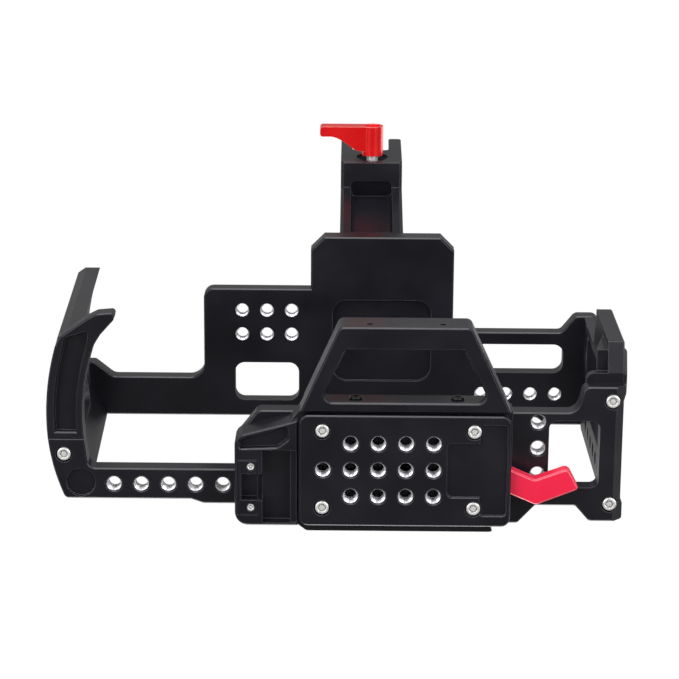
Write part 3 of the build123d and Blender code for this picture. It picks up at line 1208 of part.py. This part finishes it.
with BuildPart() as grip_pad:
    box_between(
        (RAIL_X - 8.9, RAIL_X + 8.9),
        (leg_y(HANDLE_Z, LEG_T) + 14.1, GRIP_END_Y - 8.1),
        (HANDLE_Z - 2.2, HANDLE_Z + 3.0),
    )
    fillet(grip_pad.edges().group_by(Axis.Z)[0], 1.8)
    # finger waves
    with BuildSketch(side_profile(RAIL_X - 12)):
        with Locations(*[(-22.0 + i * 20.0, HANDLE_Z - 12.3) for i in range(4)]):
            Circle(11.0)
    extrude(amount=24, mode=Mode.SUBTRACT)
grip_pad.part.label = "grip_pad"
export_step(grip_pad.part, "parts/grip_pad.step")

# ---------------------------------------------------------------- rail clamp of the handle

JAW_OUT = HANDLE_X[1] + 1.4
with BuildPart() as rail_jaw:
    box_between(
        (HANDLE_X[1] - JAW_T + 1.2, JAW_OUT),
        (RAIL_Y[0] + 1.5, BASE_END_Y - 0.5),
        (NOSE_Z + LOOSE, BASE_TOP - 2.3),
    )
    # what is left of it hooks under the rail's flare
    with BuildSketch(across_front):
        with BuildLine():
            Polyline(*rail_points(SLIDE), close=True)
        make_face()
    extrude(amount=-(RAIL_Y[1] - RAIL_Y[0]), mode=Mode.SUBTRACT)
    chamfer(rail_jaw.faces().sort_by(Axis.X)[-1].edges(), 0.8)
    with Locations(from_right(JAW_OUT, CLAMP_SCREW_Y, CLAMP_SCREW_Z)):
        Hole(M4_R + LOOSE, depth=JAW_T + 4)
rail_jaw.part.label = "rail_jaw"
export_step(rail_jaw.part, "parts/rail_jaw.step")

with BuildPart() as clamp_knob:
    with BuildSketch(from_right(JAW_OUT + 0.1, CLAMP_SCREW_Y, CLAMP_SCREW_Z)):
        Circle(KNOB_R - 3.0)
    extrude(amount=1.9)
    with BuildSketch(from_right(JAW_OUT + 2.0, CLAMP_SCREW_Y, CLAMP_SCREW_Z)):
        Circle(KNOB_R)
    extrude(amount=KNOB_L)
    chamfer(clamp_knob.faces().sort_by(Axis.X)[-1].edges(), 1.0)
    # grip flutes round the rim
    with BuildSketch(from_right(JAW_OUT + 2.0, CLAMP_SCREW_Y, CLAMP_SCREW_Z)):
        with PolarLocations(KNOB_R + 0.5, 18):
            Circle(1.1)
    extrude(amount=KNOB_L, mode=Mode.SUBTRACT)
    with BuildSketch(from_right(JAW_OUT, CLAMP_SCREW_Y, CLAMP_SCREW_Z)):
        Circle(M4_R)
    extrude(amount=2.0 + KNOB_L * 0.6, mode=Mode.SUBTRACT)
clamp_knob.part.label = "clamp_knob"
export_step(clamp_knob.part, "parts/clamp_knob.step")

with BuildPart() as clamp_knob_screw:
    with BuildSketch(from_right(JAW_OUT + 2.0 + KNOB_L * 0.6, CLAMP_SCREW_Y, CLAMP_SCREW_Z)):
        Circle(M4_R - SCREW_GAP)
    extrude(amount=-(KNOB_L * 0.6 + 2.0 + JAW_T + 12.0))
clamp_knob_screw.part.label = "clamp_knob_screw"
export_step(clamp_knob_screw.part, "parts/clamp_knob_screw.step")

# ---------------------------------------------------------------- accessory clamp of the handle

FORK_TOP = GRIP_TOP + CLAMP_FORK_H
with BuildPart() as clamp_plate:
    with BuildSketch(side_profile(HANDLE_X[0])):
        with BuildLine():
            Polyline(
                (HEAD_FRONT_Y, HANDLE_Z + CLAMP_LIP + 0.1),
                (PLATE_BACK_Y, HANDLE_Z + CLAMP_LIP + 0.1),
                (PLATE_BACK_Y, FORK_TOP),
                (HEAD_FRONT_Y - head_slope * (FORK_TOP - HANDLE_Z), FORK_TOP),
                close=True,
            )
        make_face()
    extrude(amount=HANDLE_W)
    # fork: a notch with round lower corners and slightly hooked ears
    fork_front = Plane(origin=(CLAMP_AXIS[0] - 0.6, HEAD_FRONT_Y - 5, 0), x_dir=(1, 0, 0), z_dir=(0, 1, 0))
    with BuildSketch(fork_front):
        with Locations((0, -(GRIP_TOP + 1.6))):
            RectangleRounded(CLAMP_NOTCH_W, 2 * CLAMP_FORK_H, 2.0, align=(MID, HIGH))
    extrude(amount=CLAMP_PLATE_T + 6, mode=Mode.SUBTRACT)
    # groove that hooks over the front edge of an accessory rail
    with BuildSketch(side_profile(HANDLE_X[0] - 1)):
        with BuildLine():
            Polyline(
                (PLATE_BACK_Y + 0.01, GRIP_TOP + 0.2),
                (PLATE_BACK_Y - 1.6, GRIP_TOP + 1.8),
                (PLATE_BACK_Y - 1.6, GRIP_TOP + 2.6),
                (PLATE_BACK_Y + 0.01, GRIP_TOP + 4.2),
                close=True,
            )
        make_face()
    extrude(amount=HANDLE_W + 2, mode=Mode.SUBTRACT)
    fillet(clamp_plate.edges().filter_by(Axis.Y).group_by(Axis.Z)[-1], 1.4)
    with Locations(from_front(CLAMP_AXIS[0], HEAD_FRONT_Y, CLAMP_AXIS[1])):
        CounterSinkHole(CLAMP_SCREW_R + LOOSE, HUB_R + 2.1, depth=CLAMP_PLATE_T, counter_sink_angle=110)
clamp_plate.part.label = "clamp_plate"
export_step(clamp_plate.part, "parts/clamp_plate.step")

HUB_Y = HEAD_FRONT_Y - HUB_STANDOFF


def clamp_arm_point(out, up):
    """A point of the clamp lever's outline: out along its arm, up from its outer edge."""
    return (CLAMP_AXIS[0] - out, HUB_Y - HUB_L + up)


with BuildPart() as clamp_lever:
    with BuildSketch(from_front(CLAMP_AXIS[0], HUB_Y, CLAMP_AXIS[1])):
        Circle(HUB_R)
    extrude(amount=HUB_L)
    # arm: straight outer edge, curved inner edge that swells into the hub
    with BuildSketch(Plane.XY.offset(CLAMP_AXIS[1] - CLAMP_ARM_W / 2)):
        with BuildLine():
            Polyline(
                clamp_arm_point(HUB_R * 0.9, HUB_L - 2.0),
                clamp_arm_point(0, HUB_L - 2.0),
                clamp_arm_point(0, 0),
                clamp_arm_point(CLAMP_ARM_L, 0),
                clamp_arm_point(CLAMP_ARM_L, CLAMP_ARM_T),
            )
            Spline(
                clamp_arm_point(CLAMP_ARM_L, CLAMP_ARM_T),
                clamp_arm_point(CLAMP_ARM_L * 0.72, CLAMP_ARM_T + 0.3),
                clamp_arm_point(CLAMP_ARM_L * 0.5, CLAMP_ARM_T + 2.9),
                clamp_arm_point(CLAMP_ARM_L * 0.36, CLAMP_ARM_T + 5.2),
                clamp_arm_point(HUB_R * 0.9, HUB_L - 2.0),
                tangents=((1, 0), (1, 0.1)),
            )
        make_face()
    extrude(amount=CLAMP_ARM_W)
    fillet(clamp_lever.edges().filter_by(Axis.Z).group_by(Axis.X)[0], 1.2)
    with Locations(from_front(CLAMP_AXIS[0], HUB_Y - HUB_L, CLAMP_AXIS[1])):
        CounterBoreHole(CLAMP_SCREW_R, HUB_R - 1.1, 4.2, depth=HUB_L)
    with BuildSketch(from_front(CLAMP_AXIS[0], HUB_Y, CLAMP_AXIS[1])):
        Circle(HUB_R - 1.3)
    extrude(amount=4.0, mode=Mode.SUBTRACT)
clamp_lever.part.label = "clamp_lever"
export_step(clamp_lever.part, "parts/clamp_lever.step")

with BuildPart() as clamp_lever_screw:
    with Locations(from_front(CLAMP_AXIS[0], HUB_Y - HUB_L + 4.2, CLAMP_AXIS[1])):
        Cylinder(CLAMP_SCREW_R - SCREW_GAP, HUB_L - 4.2 + HUB_STANDOFF + CLAMP_PLATE_T + 14.0,
                 align=(MID, MID, HIGH))
    with Locations(from_front(CLAMP_AXIS[0], HUB_Y - HUB_L + 1.4, CLAMP_AXIS[1])):
        Cylinder(HUB_R - 1.4, 2.8, align=(MID, MID, HIGH))
    with BuildSketch(from_front(CLAMP_AXIS[0], HUB_Y - HUB_L + 1.4, CLAMP_AXIS[1])):
        RegularPolygon(1.5, 6, major_radius=False)
    extrude(amount=-1.8, mode=Mode.SUBTRACT)
clamp_lever_screw.part.label = "clamp_lever_screw"
export_step(clamp_lever_screw.part, "parts/clamp_lever_screw.step")
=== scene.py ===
import json
import math

import bmesh
import bpy
from mathutils import Matrix, Vector


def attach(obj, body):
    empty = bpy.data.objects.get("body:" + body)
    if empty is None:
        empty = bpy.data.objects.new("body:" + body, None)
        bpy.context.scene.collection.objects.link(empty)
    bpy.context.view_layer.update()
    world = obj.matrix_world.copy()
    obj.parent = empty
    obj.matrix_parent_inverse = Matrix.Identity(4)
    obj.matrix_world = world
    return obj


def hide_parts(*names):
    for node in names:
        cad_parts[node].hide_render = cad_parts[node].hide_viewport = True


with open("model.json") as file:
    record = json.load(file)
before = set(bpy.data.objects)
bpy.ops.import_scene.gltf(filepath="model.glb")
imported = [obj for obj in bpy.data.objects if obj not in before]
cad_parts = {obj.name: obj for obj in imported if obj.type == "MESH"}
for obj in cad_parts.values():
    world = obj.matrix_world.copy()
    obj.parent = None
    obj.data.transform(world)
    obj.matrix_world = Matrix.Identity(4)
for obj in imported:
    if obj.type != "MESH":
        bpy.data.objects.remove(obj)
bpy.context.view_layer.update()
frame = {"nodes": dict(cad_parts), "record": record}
nodes = frame["nodes"]

MM = 0.001
WHITE = (1, 1, 1, 1)
UP = (0, 0, 1)
DOWN = (0, 0, -1)
TO_LENS = (0, -1, 0)
TO_SOCKETS = (1, 0, 0)


# ---------------------------------------------------------------- materials

# sizes of the surface patterns, in millimetres
GRIT = 0.35         # blasting, coarser than the real 0.1 mm so that it shows
CLOUD = 22          # slow change over a dyed or oiled face
SPECKS = 0.5        # tumbling marks
PEBBLES = 0.9       # moulded skin
DUST = 9


def linear(hex_colour):
    """An sRGB hex colour as the linear RGBA that a shader takes."""
    rgb = [int(hex_colour[i:i + 2], 16) / 255 for i in (1, 3, 5)]
    return tuple(c / 12.92 if c <= 0.04045 else ((c + 0.055) / 1.055) ** 2.4 for c in rgb) + (1.0,)


def add_node(tree, kind, settings=None, **inputs):
    """One shader node with its settings and its inputs, each a value or another node's output. An input
    goes by its name, with _ for a space, or by its number after a _."""
    node = tree.nodes.new(kind)
    for name, value in (settings or {}).items():
        setattr(node, name, value)
    for name, value in inputs.items():
        socket = node.inputs[int(name[1:])] if name[1:].isdigit() else node.inputs[name.replace("_", " ")]
        if isinstance(value, bpy.types.NodeSocket):
            tree.links.new(value, socket)
        else:
            socket.default_value = value
    return node


def new_material(name):
    """An empty material, its node tree and its Object coordinates."""
    material = bpy.data.materials.new(name)
    material.use_nodes = True
    tree = material.node_tree
    tree.nodes.clear()
    place = add_node(tree, "ShaderNodeTexCoord").outputs["Object"]
    return material, tree, place


def finish_material(tree, shader):
    add_node(tree, "ShaderNodeOutputMaterial", Surface=shader.outputs[0])


def ramp(tree, value, low, high, colour_low, colour_high):
    """Turns a pattern's value into a colour between two, over the range low to high."""
    node = add_node(tree, "ShaderNodeValToRGB", Fac=value)
    node.color_ramp.elements[0].position = low
    node.color_ramp.elements[0].color = colour_low
    node.color_ramp.elements[1].position = high
    node.color_ramp.elements[1].color = colour_high
    return node.outputs["Color"]


def rounded_normal_and_edge_highlight(tree, radius):
    """A normal that is rounded over a radius in millimetres, and how much it turns: 0 on a flat face,
    towards 1 at an edge. The turn is the mask of the painted highlight along the edges."""
    soft = add_node(tree, "ShaderNodeBevel", {"samples": 6}, Radius=radius * MM).outputs[0]
    flat = add_node(tree, "ShaderNodeNewGeometry").outputs["True Normal"]
    agree = add_node(tree, "ShaderNodeVectorMath", {"operation": "DOT_PRODUCT"}, _0=soft, _1=flat)
    turned = add_node(tree, "ShaderNodeMapRange", Value=agree.outputs["Value"], From_Min=0.995,
                      From_Max=0.85)
    return soft, turned.outputs[0]


def satin_metal(name, colour, colour_pale, colour_edge_highlight, rough, metallic=0.0, edge=0.3, grain_depth=0.02):
    """A satin finish on metal: a fine grain, a slow change of colour and shine over each face, and a
    painted highlight along every edge, a paler colour that partly stands for rubbed wear. The edge's
    radius and the grain's depth are in millimetres."""
    material, tree, place = new_material(name)
    grit = add_node(tree, "ShaderNodeTexNoise", Vector=place, Scale=1 / (GRIT * MM), Detail=3.0)
    cloud = add_node(tree, "ShaderNodeTexNoise", Vector=place, Scale=1 / (CLOUD * MM), Detail=4.0)
    body = ramp(tree, cloud.outputs[0], 0.35, 0.68, linear(colour), linear(colour_pale))
    soft, turned = rounded_normal_and_edge_highlight(tree, edge)
    # painted edge highlight: the paler edge colour is mixed in wherever the normal turns at an edge
    mixed = add_node(tree, "ShaderNodeMix", {"data_type": "RGBA"}, _0=turned, _6=body,
                     _7=linear(colour_edge_highlight))
    shine = add_node(tree, "ShaderNodeMapRange", Value=cloud.outputs[0], From_Min=0.3, From_Max=0.7,
                     To_Min=rough - 0.04, To_Max=rough + 0.05)
    bump = add_node(tree, "ShaderNodeBump", Height=grit.outputs[0], Strength=0.3,
                    Distance=grain_depth * MM, Normal=soft)
    shader = add_node(tree, "ShaderNodeBsdfPrincipled", Base_Color=mixed.outputs[2], Metallic=metallic,
                      Roughness=shine.outputs[0], Normal=bump.outputs[0])
    finish_material(tree, shader)
    return material


def stainless_steel(name):
    """Stainless steel, turned, blasted and tumbled: pale silver, with a bright and wide shine."""
    material, tree, place = new_material(name)
    specks = add_node(tree, "ShaderNodeTexNoise", Vector=place, Scale=1 / (SPECKS * MM), Detail=4.0)
    colour = ramp(tree, specks.outputs[0], 0.3, 0.7, linear("#e9e8e6"), linear("#fbfaf8"))
    bump = add_node(tree, "ShaderNodeBump", Height=specks.outputs[0], Strength=0.12, Distance=0.02 * MM)
    shader = add_node(tree, "ShaderNodeBsdfPrincipled", Base_Color=colour, Metallic=0.45, Roughness=0.32,
                      Normal=bump.outputs[0])
    finish_material(tree, shader)
    return material


def moulded_rubber(name):
    """Moulded silicone rubber: near black, matt, with a fine pebbled skin."""
    material, tree, place = new_material(name)
    pebbles = add_node(tree, "ShaderNodeTexVoronoi", {"feature": "SMOOTH_F1"}, Vector=place,
                       Scale=1 / (PEBBLES * MM))
    dust = add_node(tree, "ShaderNodeTexNoise", Vector=place, Scale=1 / (DUST * MM), Detail=5.0)
    colour = ramp(tree, dust.outputs[0], 0.35, 0.75, linear("#131314"), linear("#1c1c1e"))
    bump = add_node(tree, "ShaderNodeBump", Height=pebbles.outputs[0], Strength=0.4, Distance=0.12 * MM)
    shader = add_node(tree, "ShaderNodeBsdfPrincipled", Base_Color=colour, Roughness=0.72,
                      Normal=bump.outputs[0])
    finish_material(tree, shader)
    return material


# aluminium, blasted, anodised and dyed black: a deep, even colour with a fine grain, a satin sheen
# that gets much stronger on faces seen at a low angle, and a painted highlight on its edges, paler, partly
# for wear
black = satin_metal("black anodised aluminium, blasted", "#0f0f15", "#16161e", "#54545e", 0.32)

# aluminium, tapped and left bare: bright silver with short, sharp glints along the ridges, helped by a
# painted white highlight on their edges
threads_bare = satin_metal("bare aluminium, cut threads", "#e4e4e8", "#f4f4f8", "#ffffff", 0.22,
                           metallic=0.4, edge=0.08, grain_depth=0.004)

# aluminium, anodised red: a cool pinkish red, smoother than the black, with a painted pale pink highlight
# on its edges
red = satin_metal("red anodised aluminium, satin", "#fb2348", "#ff3056", "#ffd6dc", 0.3,
                  metallic=0.1, edge=0.35, grain_depth=0.008)

# the same, dyed deeper: a warmer, fuller red, in which more of the metal's shine comes through, with a
# painted pale highlight on its edges
red_deep = satin_metal("red anodised aluminium, deep dye", "#e00a0e", "#ee1618", "#ff9a90", 0.27,
                       metallic=0.3, edge=0.35, grain_depth=0.008)

# steel, blackened and oiled: a soft black with a greasy shine and a painted grey highlight on its edges
blackened = satin_metal("blackened steel, oiled", "#141416", "#1d1d20", "#50505a", 0.3,
                        metallic=0.5, edge=0.15, grain_depth=0.004)

steel = stainless_steel("stainless steel, tumbled")
rubber = moulded_rubber("moulded silicone rubber")

materials = {"black_anodised": black, "red_anodised": red, "screw_steel": steel, "black_rubber": rubber}
for part in frame["record"]["subparts"]:
    node = nodes[part["node"]]
    node.data.materials.clear()
    node.data.materials.append(materials[part["material_slot"]])
nodes["clamp_lever"].data.materials[0] = red_deep
nodes["camera_screw"].data.materials[0] = blackened


# ---------------------------------------------------------------- pieces from patterns

def pattern_mesh(shape):
    """A closed shape in millimetres, from the origin along -Z, as a mesh to lay at many places."""
    bmesh.ops.recalc_face_normals(shape, faces=shape.faces)
    mesh = bpy.data.meshes.new("pattern")
    shape.to_mesh(mesh)
    shape.free()
    return mesh


def lay(name, pattern, places, facing, body, material, stands_for=()):
    """One piece: a copy of the pattern at each place in millimetres, its +Z turned to face a way."""
    shape = bmesh.new()
    turned = Vector(facing).to_track_quat("Z", "Y").to_matrix().to_4x4()
    for place in places:
        first = len(shape.verts)
        shape.from_mesh(pattern)
        shape.verts.ensure_lookup_table()
        bmesh.ops.transform(shape, matrix=Matrix.Translation(place) @ turned, verts=shape.verts[first:])
    bmesh.ops.scale(shape, verts=shape.verts, vec=(MM, MM, MM))
    mesh = bpy.data.meshes.new(name)
    shape.to_mesh(mesh)
    shape.free()
    mesh.materials.append(material)
    piece = bpy.data.objects.new(name, mesh)
    bpy.context.scene.collection.objects.link(piece)
    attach(piece, body)
    if stands_for:
        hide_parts(*stands_for)


# ---------------------------------------------------------------- cut threads of the accessory holes

BORE_R = 2.75
THREAD_PITCH = 1.27     # 1/4 inch, 20 to the inch
THREAD_SIDES = 24
THREAD_START = 0.75     # below the countersink
CREST = 0.45            # how far a crest stands into the bore
CREST_HALF = 0.06       # half the height of a crest's flat
ROOT = 0.06             # how far the ridge is let into the wall
ROOT_HALF = 0.45        # half the height of the ridge at the wall
COLLAR_WALL = 0.7


def spin_outline(shape, outline, steps, rise):
    """Spins a closed outline of radius and height round Z, with a rise at each step."""
    corners = [shape.verts.new((r, 0, z)) for r, z in outline]
    sides = [shape.edges.new((corners[i - 1], corners[i])) for i in range(len(corners))]
    bmesh.ops.spin(shape, geom=corners + sides, cent=(0, 0, 0), axis=(0, 0, 1), steps=steps,
                   angle=math.tau * steps / THREAD_SIDES, dvec=(0, 0, rise), use_merge=rise == 0)


def thread_pattern(depth, wall=None):
    """The ridge of a cut thread, from the mouth at the origin down to a depth along -Z. Below the
    depth wall, where the hole has left its plate, a collar carries it on."""
    shape = bmesh.new()
    turns = (depth - THREAD_START - ROOT_HALF) / THREAD_PITCH
    steps = round(turns * THREAD_SIDES)
    ridge = (
        (BORE_R + ROOT, ROOT_HALF),
        (BORE_R - CREST, CREST_HALF),
        (BORE_R - CREST, -CREST_HALF),
        (BORE_R + ROOT, -ROOT_HALF),
    )
    spin_outline(shape, [(r, z - THREAD_START) for r, z in ridge], steps, -THREAD_PITCH / THREAD_SIDES)
    bmesh.ops.holes_fill(shape, edges=[edge for edge in shape.edges if edge.is_boundary], sides=0)
    if wall:
        outer = BORE_R + COLLAR_WALL
        spin_outline(shape, ((BORE_R, -depth), (outer, -depth), (outer, -wall), (BORE_R, -wall)),
                     THREAD_SIDES, 0)
    return pattern_mesh(shape)


# the faces that the holes open in, along the way that each faces
PLATE_FACE = 0
FRAME_FACE = 13.0
ARM_FACE = 80.0
TOP_FACE = 123.0
GRIP_FACE = 198.0

PITCH = 10.0
HANDLE_X = -12.2
plate_holes = [(x * PITCH, y * PITCH, PLATE_FACE) for y in (-1, 0, 1) for x in (-2, -1, 0, 1)]
plate_holes += [(-30.0, 0, PLATE_FACE)]
bar_holes = [(-67.0 - i * PITCH, 10.4, FRAME_FACE) for i in range(5)]
side_holes = [(48.5, -4.7 + i * PITCH, FRAME_FACE) for i in (-1, 0, 1)]
arm_holes = [(ARM_FACE, 13.0, 36.0 + i * PITCH) for i in range(7)]
top_holes = [(-64.4 + i * PITCH, -28.5 + j * PITCH, TOP_FACE) for i in range(3) for j in range(2)]
top_holes += [(33.0 + i * PITCH, 6.0, TOP_FACE) for i in range(4)]
grip_holes = [(HANDLE_X, -28.0 + i * 2 * PITCH, GRIP_FACE) for i in range(4)]

lay("plate_threads", thread_pattern(depth=6.95, wall=3.52), plate_holes,
    DOWN, "cage", threads_bare)
lay("frame_threads", thread_pattern(depth=7.0), bar_holes + side_holes,
    DOWN, "cage", threads_bare)
lay("arm_threads", thread_pattern(depth=6.0), arm_holes,
    TO_SOCKETS, "cage", threads_bare)
lay("top_threads", thread_pattern(depth=6.5), top_holes,
    UP, "cage", threads_bare)
lay("grip_threads", thread_pattern(depth=9.0), grip_holes,
    UP, "handle", threads_bare)


# ---------------------------------------------------------------- screws

SCREW_SIDES = 24
HEXAGON = True          # marks a ring with six flat sides
TIP = 0.4               # the thread's chamfered end
GROOVE = 0.5            # width of the socket's groove
MIDDLE_DEPTH = 0.4      # how far the rim of the socket's raised middle lies below the head


def lathe(rings):
    """A closed shape drawn out ring by ring from a disc, and closed at the last. Each ring has a radius
    and a height, and a third value makes it a hexagon, with the radius at its corners."""
    shape = bmesh.new()
    disc = bmesh.ops.create_circle(shape, cap_ends=True, segments=SCREW_SIDES, radius=1.0)["verts"]
    edges = disc[0].link_faces[0].edges[:]
    for step, (radius, height, *hexagon) in enumerate(rings):
        corners = {corner for edge in edges for corner in edge.verts}
        if step:
            drawn = bmesh.ops.extrude_edge_only(shape, edges=edges)["geom"]
            corners = {item for item in drawn if isinstance(item, bmesh.types.BMVert)}
            edges = [item for item in drawn
                     if isinstance(item, bmesh.types.BMEdge) and corners.issuperset(item.verts)]
        for corner in corners:
            angle = math.atan2(corner.co.y, corner.co.x)
            reach = radius
            if hexagon:
                reach *= math.cos(math.pi / 6) / math.cos(angle % (math.pi / 3) - math.pi / 6)
            corner.co = (reach * math.cos(angle), reach * math.sin(angle), height)
    bmesh.ops.contextual_create(shape, geom=edges)
    return shape


def screw_pattern(head_r, head_h, thread_r, length, socket, socket_depth):
    """A hex socket screw: its outer face at the origin, its thread along -Z. A head as wide as the
    thread makes a grub screw. The socket is cut as a groove round a raised middle, which keeps its
    outline clear on a small head."""
    tip = -head_h - length
    corner = socket / 2 / math.cos(math.pi / 6)
    rings = [(thread_r - TIP, tip), (thread_r, tip + TIP)]
    if head_r > thread_r:
        rings += [(thread_r, -head_h), (head_r - 0.1, -head_h), (head_r, -head_h + 0.1)]
    rings += [
        # the head's rounded rim and flat face
        (head_r, -0.5),
        (head_r - 0.12, -0.2),
        (head_r - 0.4, -0.03),
        ((head_r + corner) / 2, 0.0),
        (corner + 0.1, 0.0),
        # down the socket's wall, across the groove and up to the middle
        (corner, -0.1, HEXAGON),
        (corner, -socket_depth, HEXAGON),
        (corner - GROOVE, -socket_depth, HEXAGON),
        (corner - GROOVE - 0.06, -MIDDLE_DEPTH, HEXAGON),
        (corner * 0.25, -MIDDLE_DEPTH + 0.05),
    ]
    return pattern_mesh(lathe(rings))


SUNK = 0.2              # how far a head lies below its face
STOP_HEAD_Z = 1.2
GUARD_HEAD_Y = -26.2
RAIL_HEAD_Z = 132.1

M3 = dict(head_r=2.55, thread_r=1.45, socket=2.8, socket_depth=1.9)
M3_GRUB = dict(head_r=1.45, head_h=1.0, thread_r=1.45, socket=1.6, socket_depth=1.6)
M3_LOW = dict(head_r=2.4, head_h=1.5, thread_r=1.45, socket=2.0, socket_depth=0.9)
M4 = dict(head_r=3.5, head_h=4.0, thread_r=1.95, socket=3.0, socket_depth=2.2)

lay("plate_screw_set", screw_pattern(head_h=2.4, length=6.0, **M3),
    [(x, y, PLATE_FACE + SUNK) for x in (-30.3, 24.6) for y in (-14.6, 14.6)],
    DOWN, "cage", steel, ["mount_plate_screws"])
lay("left_foot_screw", screw_pattern(head_h=2.4, length=13.0, **M3),
    [(-125.258, -0.8, FRAME_FACE + SUNK)],
    DOWN, "cage", steel, ["left_arm_screw"])
lay("right_foot_screws", screw_pattern(head_h=2.4, length=12.0, **M3),
    [(75.4, y, FRAME_FACE + SUNK) for y in (-22.6, 16.9)],
    DOWN, "cage", steel, ["right_arm_screws"])
lay("top_screw_set", screw_pattern(head_h=3.0, length=11.5, **M3),
    [(x, y, TOP_FACE - SUNK) for x, y in ((-128.933, 3.0), (-126.267, 11.5), (76.2, -20.0), (76.2, 13.0))],
    UP, "cage", steel, ["top_plate_screws"])
lay("slide_stop_screw_pair", screw_pattern(length=7.0, **M3_GRUB),
    [(-56.2, y, STOP_HEAD_Z) for y in (-0.6, 15.0)],
    DOWN, "cage", steel, ["slide_stop_screws"])
lay("guard_screw_pair", screw_pattern(length=9.0, **M3_LOW),
    [(x, GUARD_HEAD_Y, 6.6) for x in (-18.3, 18.5)],
    TO_LENS, "cage", blackened, ["vent_guard_screws"])
lay("rail_screw_pair", screw_pattern(length=8.6, **M4),
    [(HANDLE_X, y, RAIL_HEAD_Z) for y in (-44.0, 4.0)],
    UP, "cage", steel, ["top_rail_screws"])


# ---------------------------------------------------------------- floor, lamps and camera

# in metres, but for the world's strength, where 1 is white
FLOOR_HALF = 8.0
FLOOR_DROP = 0.0004     # keeps the floor clear of the standing face
FADE_START = 0.2
FADE_END = 0.62
MIDDLE = (0, 0, 0.1)    # of the cage, where the lamps look
WORLD_LIGHT = 0.18

# The floor is there for the camera alone, and only from above. From below, where the cage's
# underside is looked at, it is let through. Away from the cage it fades to plain white.
floor_mesh = bpy.data.meshes.new("floor")
shape = bmesh.new()
bmesh.ops.create_grid(shape, x_segments=1, y_segments=1, size=FLOOR_HALF)
bmesh.ops.translate(shape, verts=shape.verts, vec=(0, 0, -FLOOR_DROP))
shape.to_mesh(floor_mesh)
shape.free()
floor = bpy.data.objects.new("floor", floor_mesh)
bpy.context.scene.collection.objects.link(floor)

# matt white paper: even, without any shine
paper, tree, place = new_material("matt white paper")
ray = add_node(tree, "ShaderNodeLightPath")
side = add_node(tree, "ShaderNodeNewGeometry")
sheet = add_node(tree, "ShaderNodeBsdfDiffuse", Color=linear("#f0efed"))
glow = add_node(tree, "ShaderNodeEmission", Color=WHITE, Strength=1.0)
clear = add_node(tree, "ShaderNodeBsdfTransparent")
reach = add_node(tree, "ShaderNodeVectorMath", {"operation": "LENGTH"}, _0=place)
far = add_node(tree, "ShaderNodeMapRange", {"interpolation_type": "SMOOTHSTEP"},
               Value=reach.outputs["Value"], From_Min=FADE_START, From_Max=FADE_END)
away = add_node(tree, "ShaderNodeMath", {"operation": "MULTIPLY"}, _0=far.outputs[0],
                _1=ray.outputs["Is Camera Ray"])
seen = add_node(tree, "ShaderNodeMixShader", _0=away.outputs[0], _1=sheet.outputs[0], _2=glow.outputs[0])
front = add_node(tree, "ShaderNodeMath", {"operation": "SUBTRACT"}, _0=ray.outputs["Is Camera Ray"],
                 _1=side.outputs["Backfacing"])
shown = add_node(tree, "ShaderNodeMath", {"operation": "MAXIMUM"}, _0=front.outputs[0], _1=0.0)
mixed = add_node(tree, "ShaderNodeMixShader", _0=shown.outputs[0], _1=clear.outputs[0],
                 _2=seen.outputs[0])
finish_material(tree, mixed)
floor_mesh.materials.append(paper)

# the camera sees plain white, and every other ray sees the dim world
world = bpy.data.worlds.new("studio")
bpy.context.scene.world = world
world.use_nodes = True
tree = world.node_tree
tree.nodes.clear()
ray = add_node(tree, "ShaderNodeLightPath")
dim = add_node(tree, "ShaderNodeBackground", Color=WHITE, Strength=WORLD_LIGHT)
white = add_node(tree, "ShaderNodeBackground", Color=WHITE, Strength=1.0)
mixed = add_node(tree, "ShaderNodeMixShader", _0=ray.outputs["Is Camera Ray"], _1=dim.outputs[0],
                 _2=white.outputs[0])
add_node(tree, "ShaderNodeOutputWorld", Surface=mixed.outputs[0])


def softbox(name, place, size, power):
    """A square area lamp that looks at the middle of the cage."""
    lamp = bpy.data.lights.new(name, "AREA")
    lamp.shape = "SQUARE"
    lamp.size = size
    lamp.energy = power
    obj = bpy.data.objects.new(name, lamp)
    bpy.context.scene.collection.objects.link(obj)
    obj.location = place
    obj.rotation_euler = (Vector(MIDDLE) - Vector(place)).to_track_quat("-Z", "Y").to_euler()


softbox("lens side softbox", (-0.1, -1.6, -0.25), 1.2, 20)
softbox("low left softbox", (-1.2, -0.7, -1.2), 1.5, 22)
softbox("low right softbox", (1.2, -0.7, -1.2), 1.5, 22)
softbox("top left softbox", (-1.3, 0.5, 1.3), 1.3, 19)
softbox("top right softbox", (1.3, 0.5, 1.3), 1.3, 19)
softbox("top softbox", (0, -0.45, 1.7), 1.5, 1.1)
softbox("back softbox", (0, 1.6, 0.3), 1.0, 14)

# a long lens that looks up at the standing face, tilted towards the lens side
FRAME_PIXELS = 679
FOCAL_PIXELS = 2400
SENSOR = 36
CAMERA_PLACE = (-19.85, -279.10, -822.43)
look_right = Vector((0.99995, -0.00649, 0.00725))
look_up = Vector((-0.00820, -0.96300, 0.26937))
look_back = -Vector((-0.00524, 0.26942, 0.96301))

camera_data = bpy.data.cameras.new("camera")
camera_data.sensor_width = SENSOR
camera_data.lens = FOCAL_PIXELS / FRAME_PIXELS * SENSOR
camera_data.clip_start = 0.05
camera_data.clip_end = 20
camera = bpy.data.objects.new("camera", camera_data)
bpy.context.scene.collection.objects.link(camera)
turn = Matrix((look_right, look_up, look_back)).transposed().to_4x4()
camera.matrix_world = Matrix.Translation(Vector(CAMERA_PLACE) * MM) @ turn
bpy.context.scene.camera = camera
bpy.context.scene.view_settings.view_transform = "Standard"
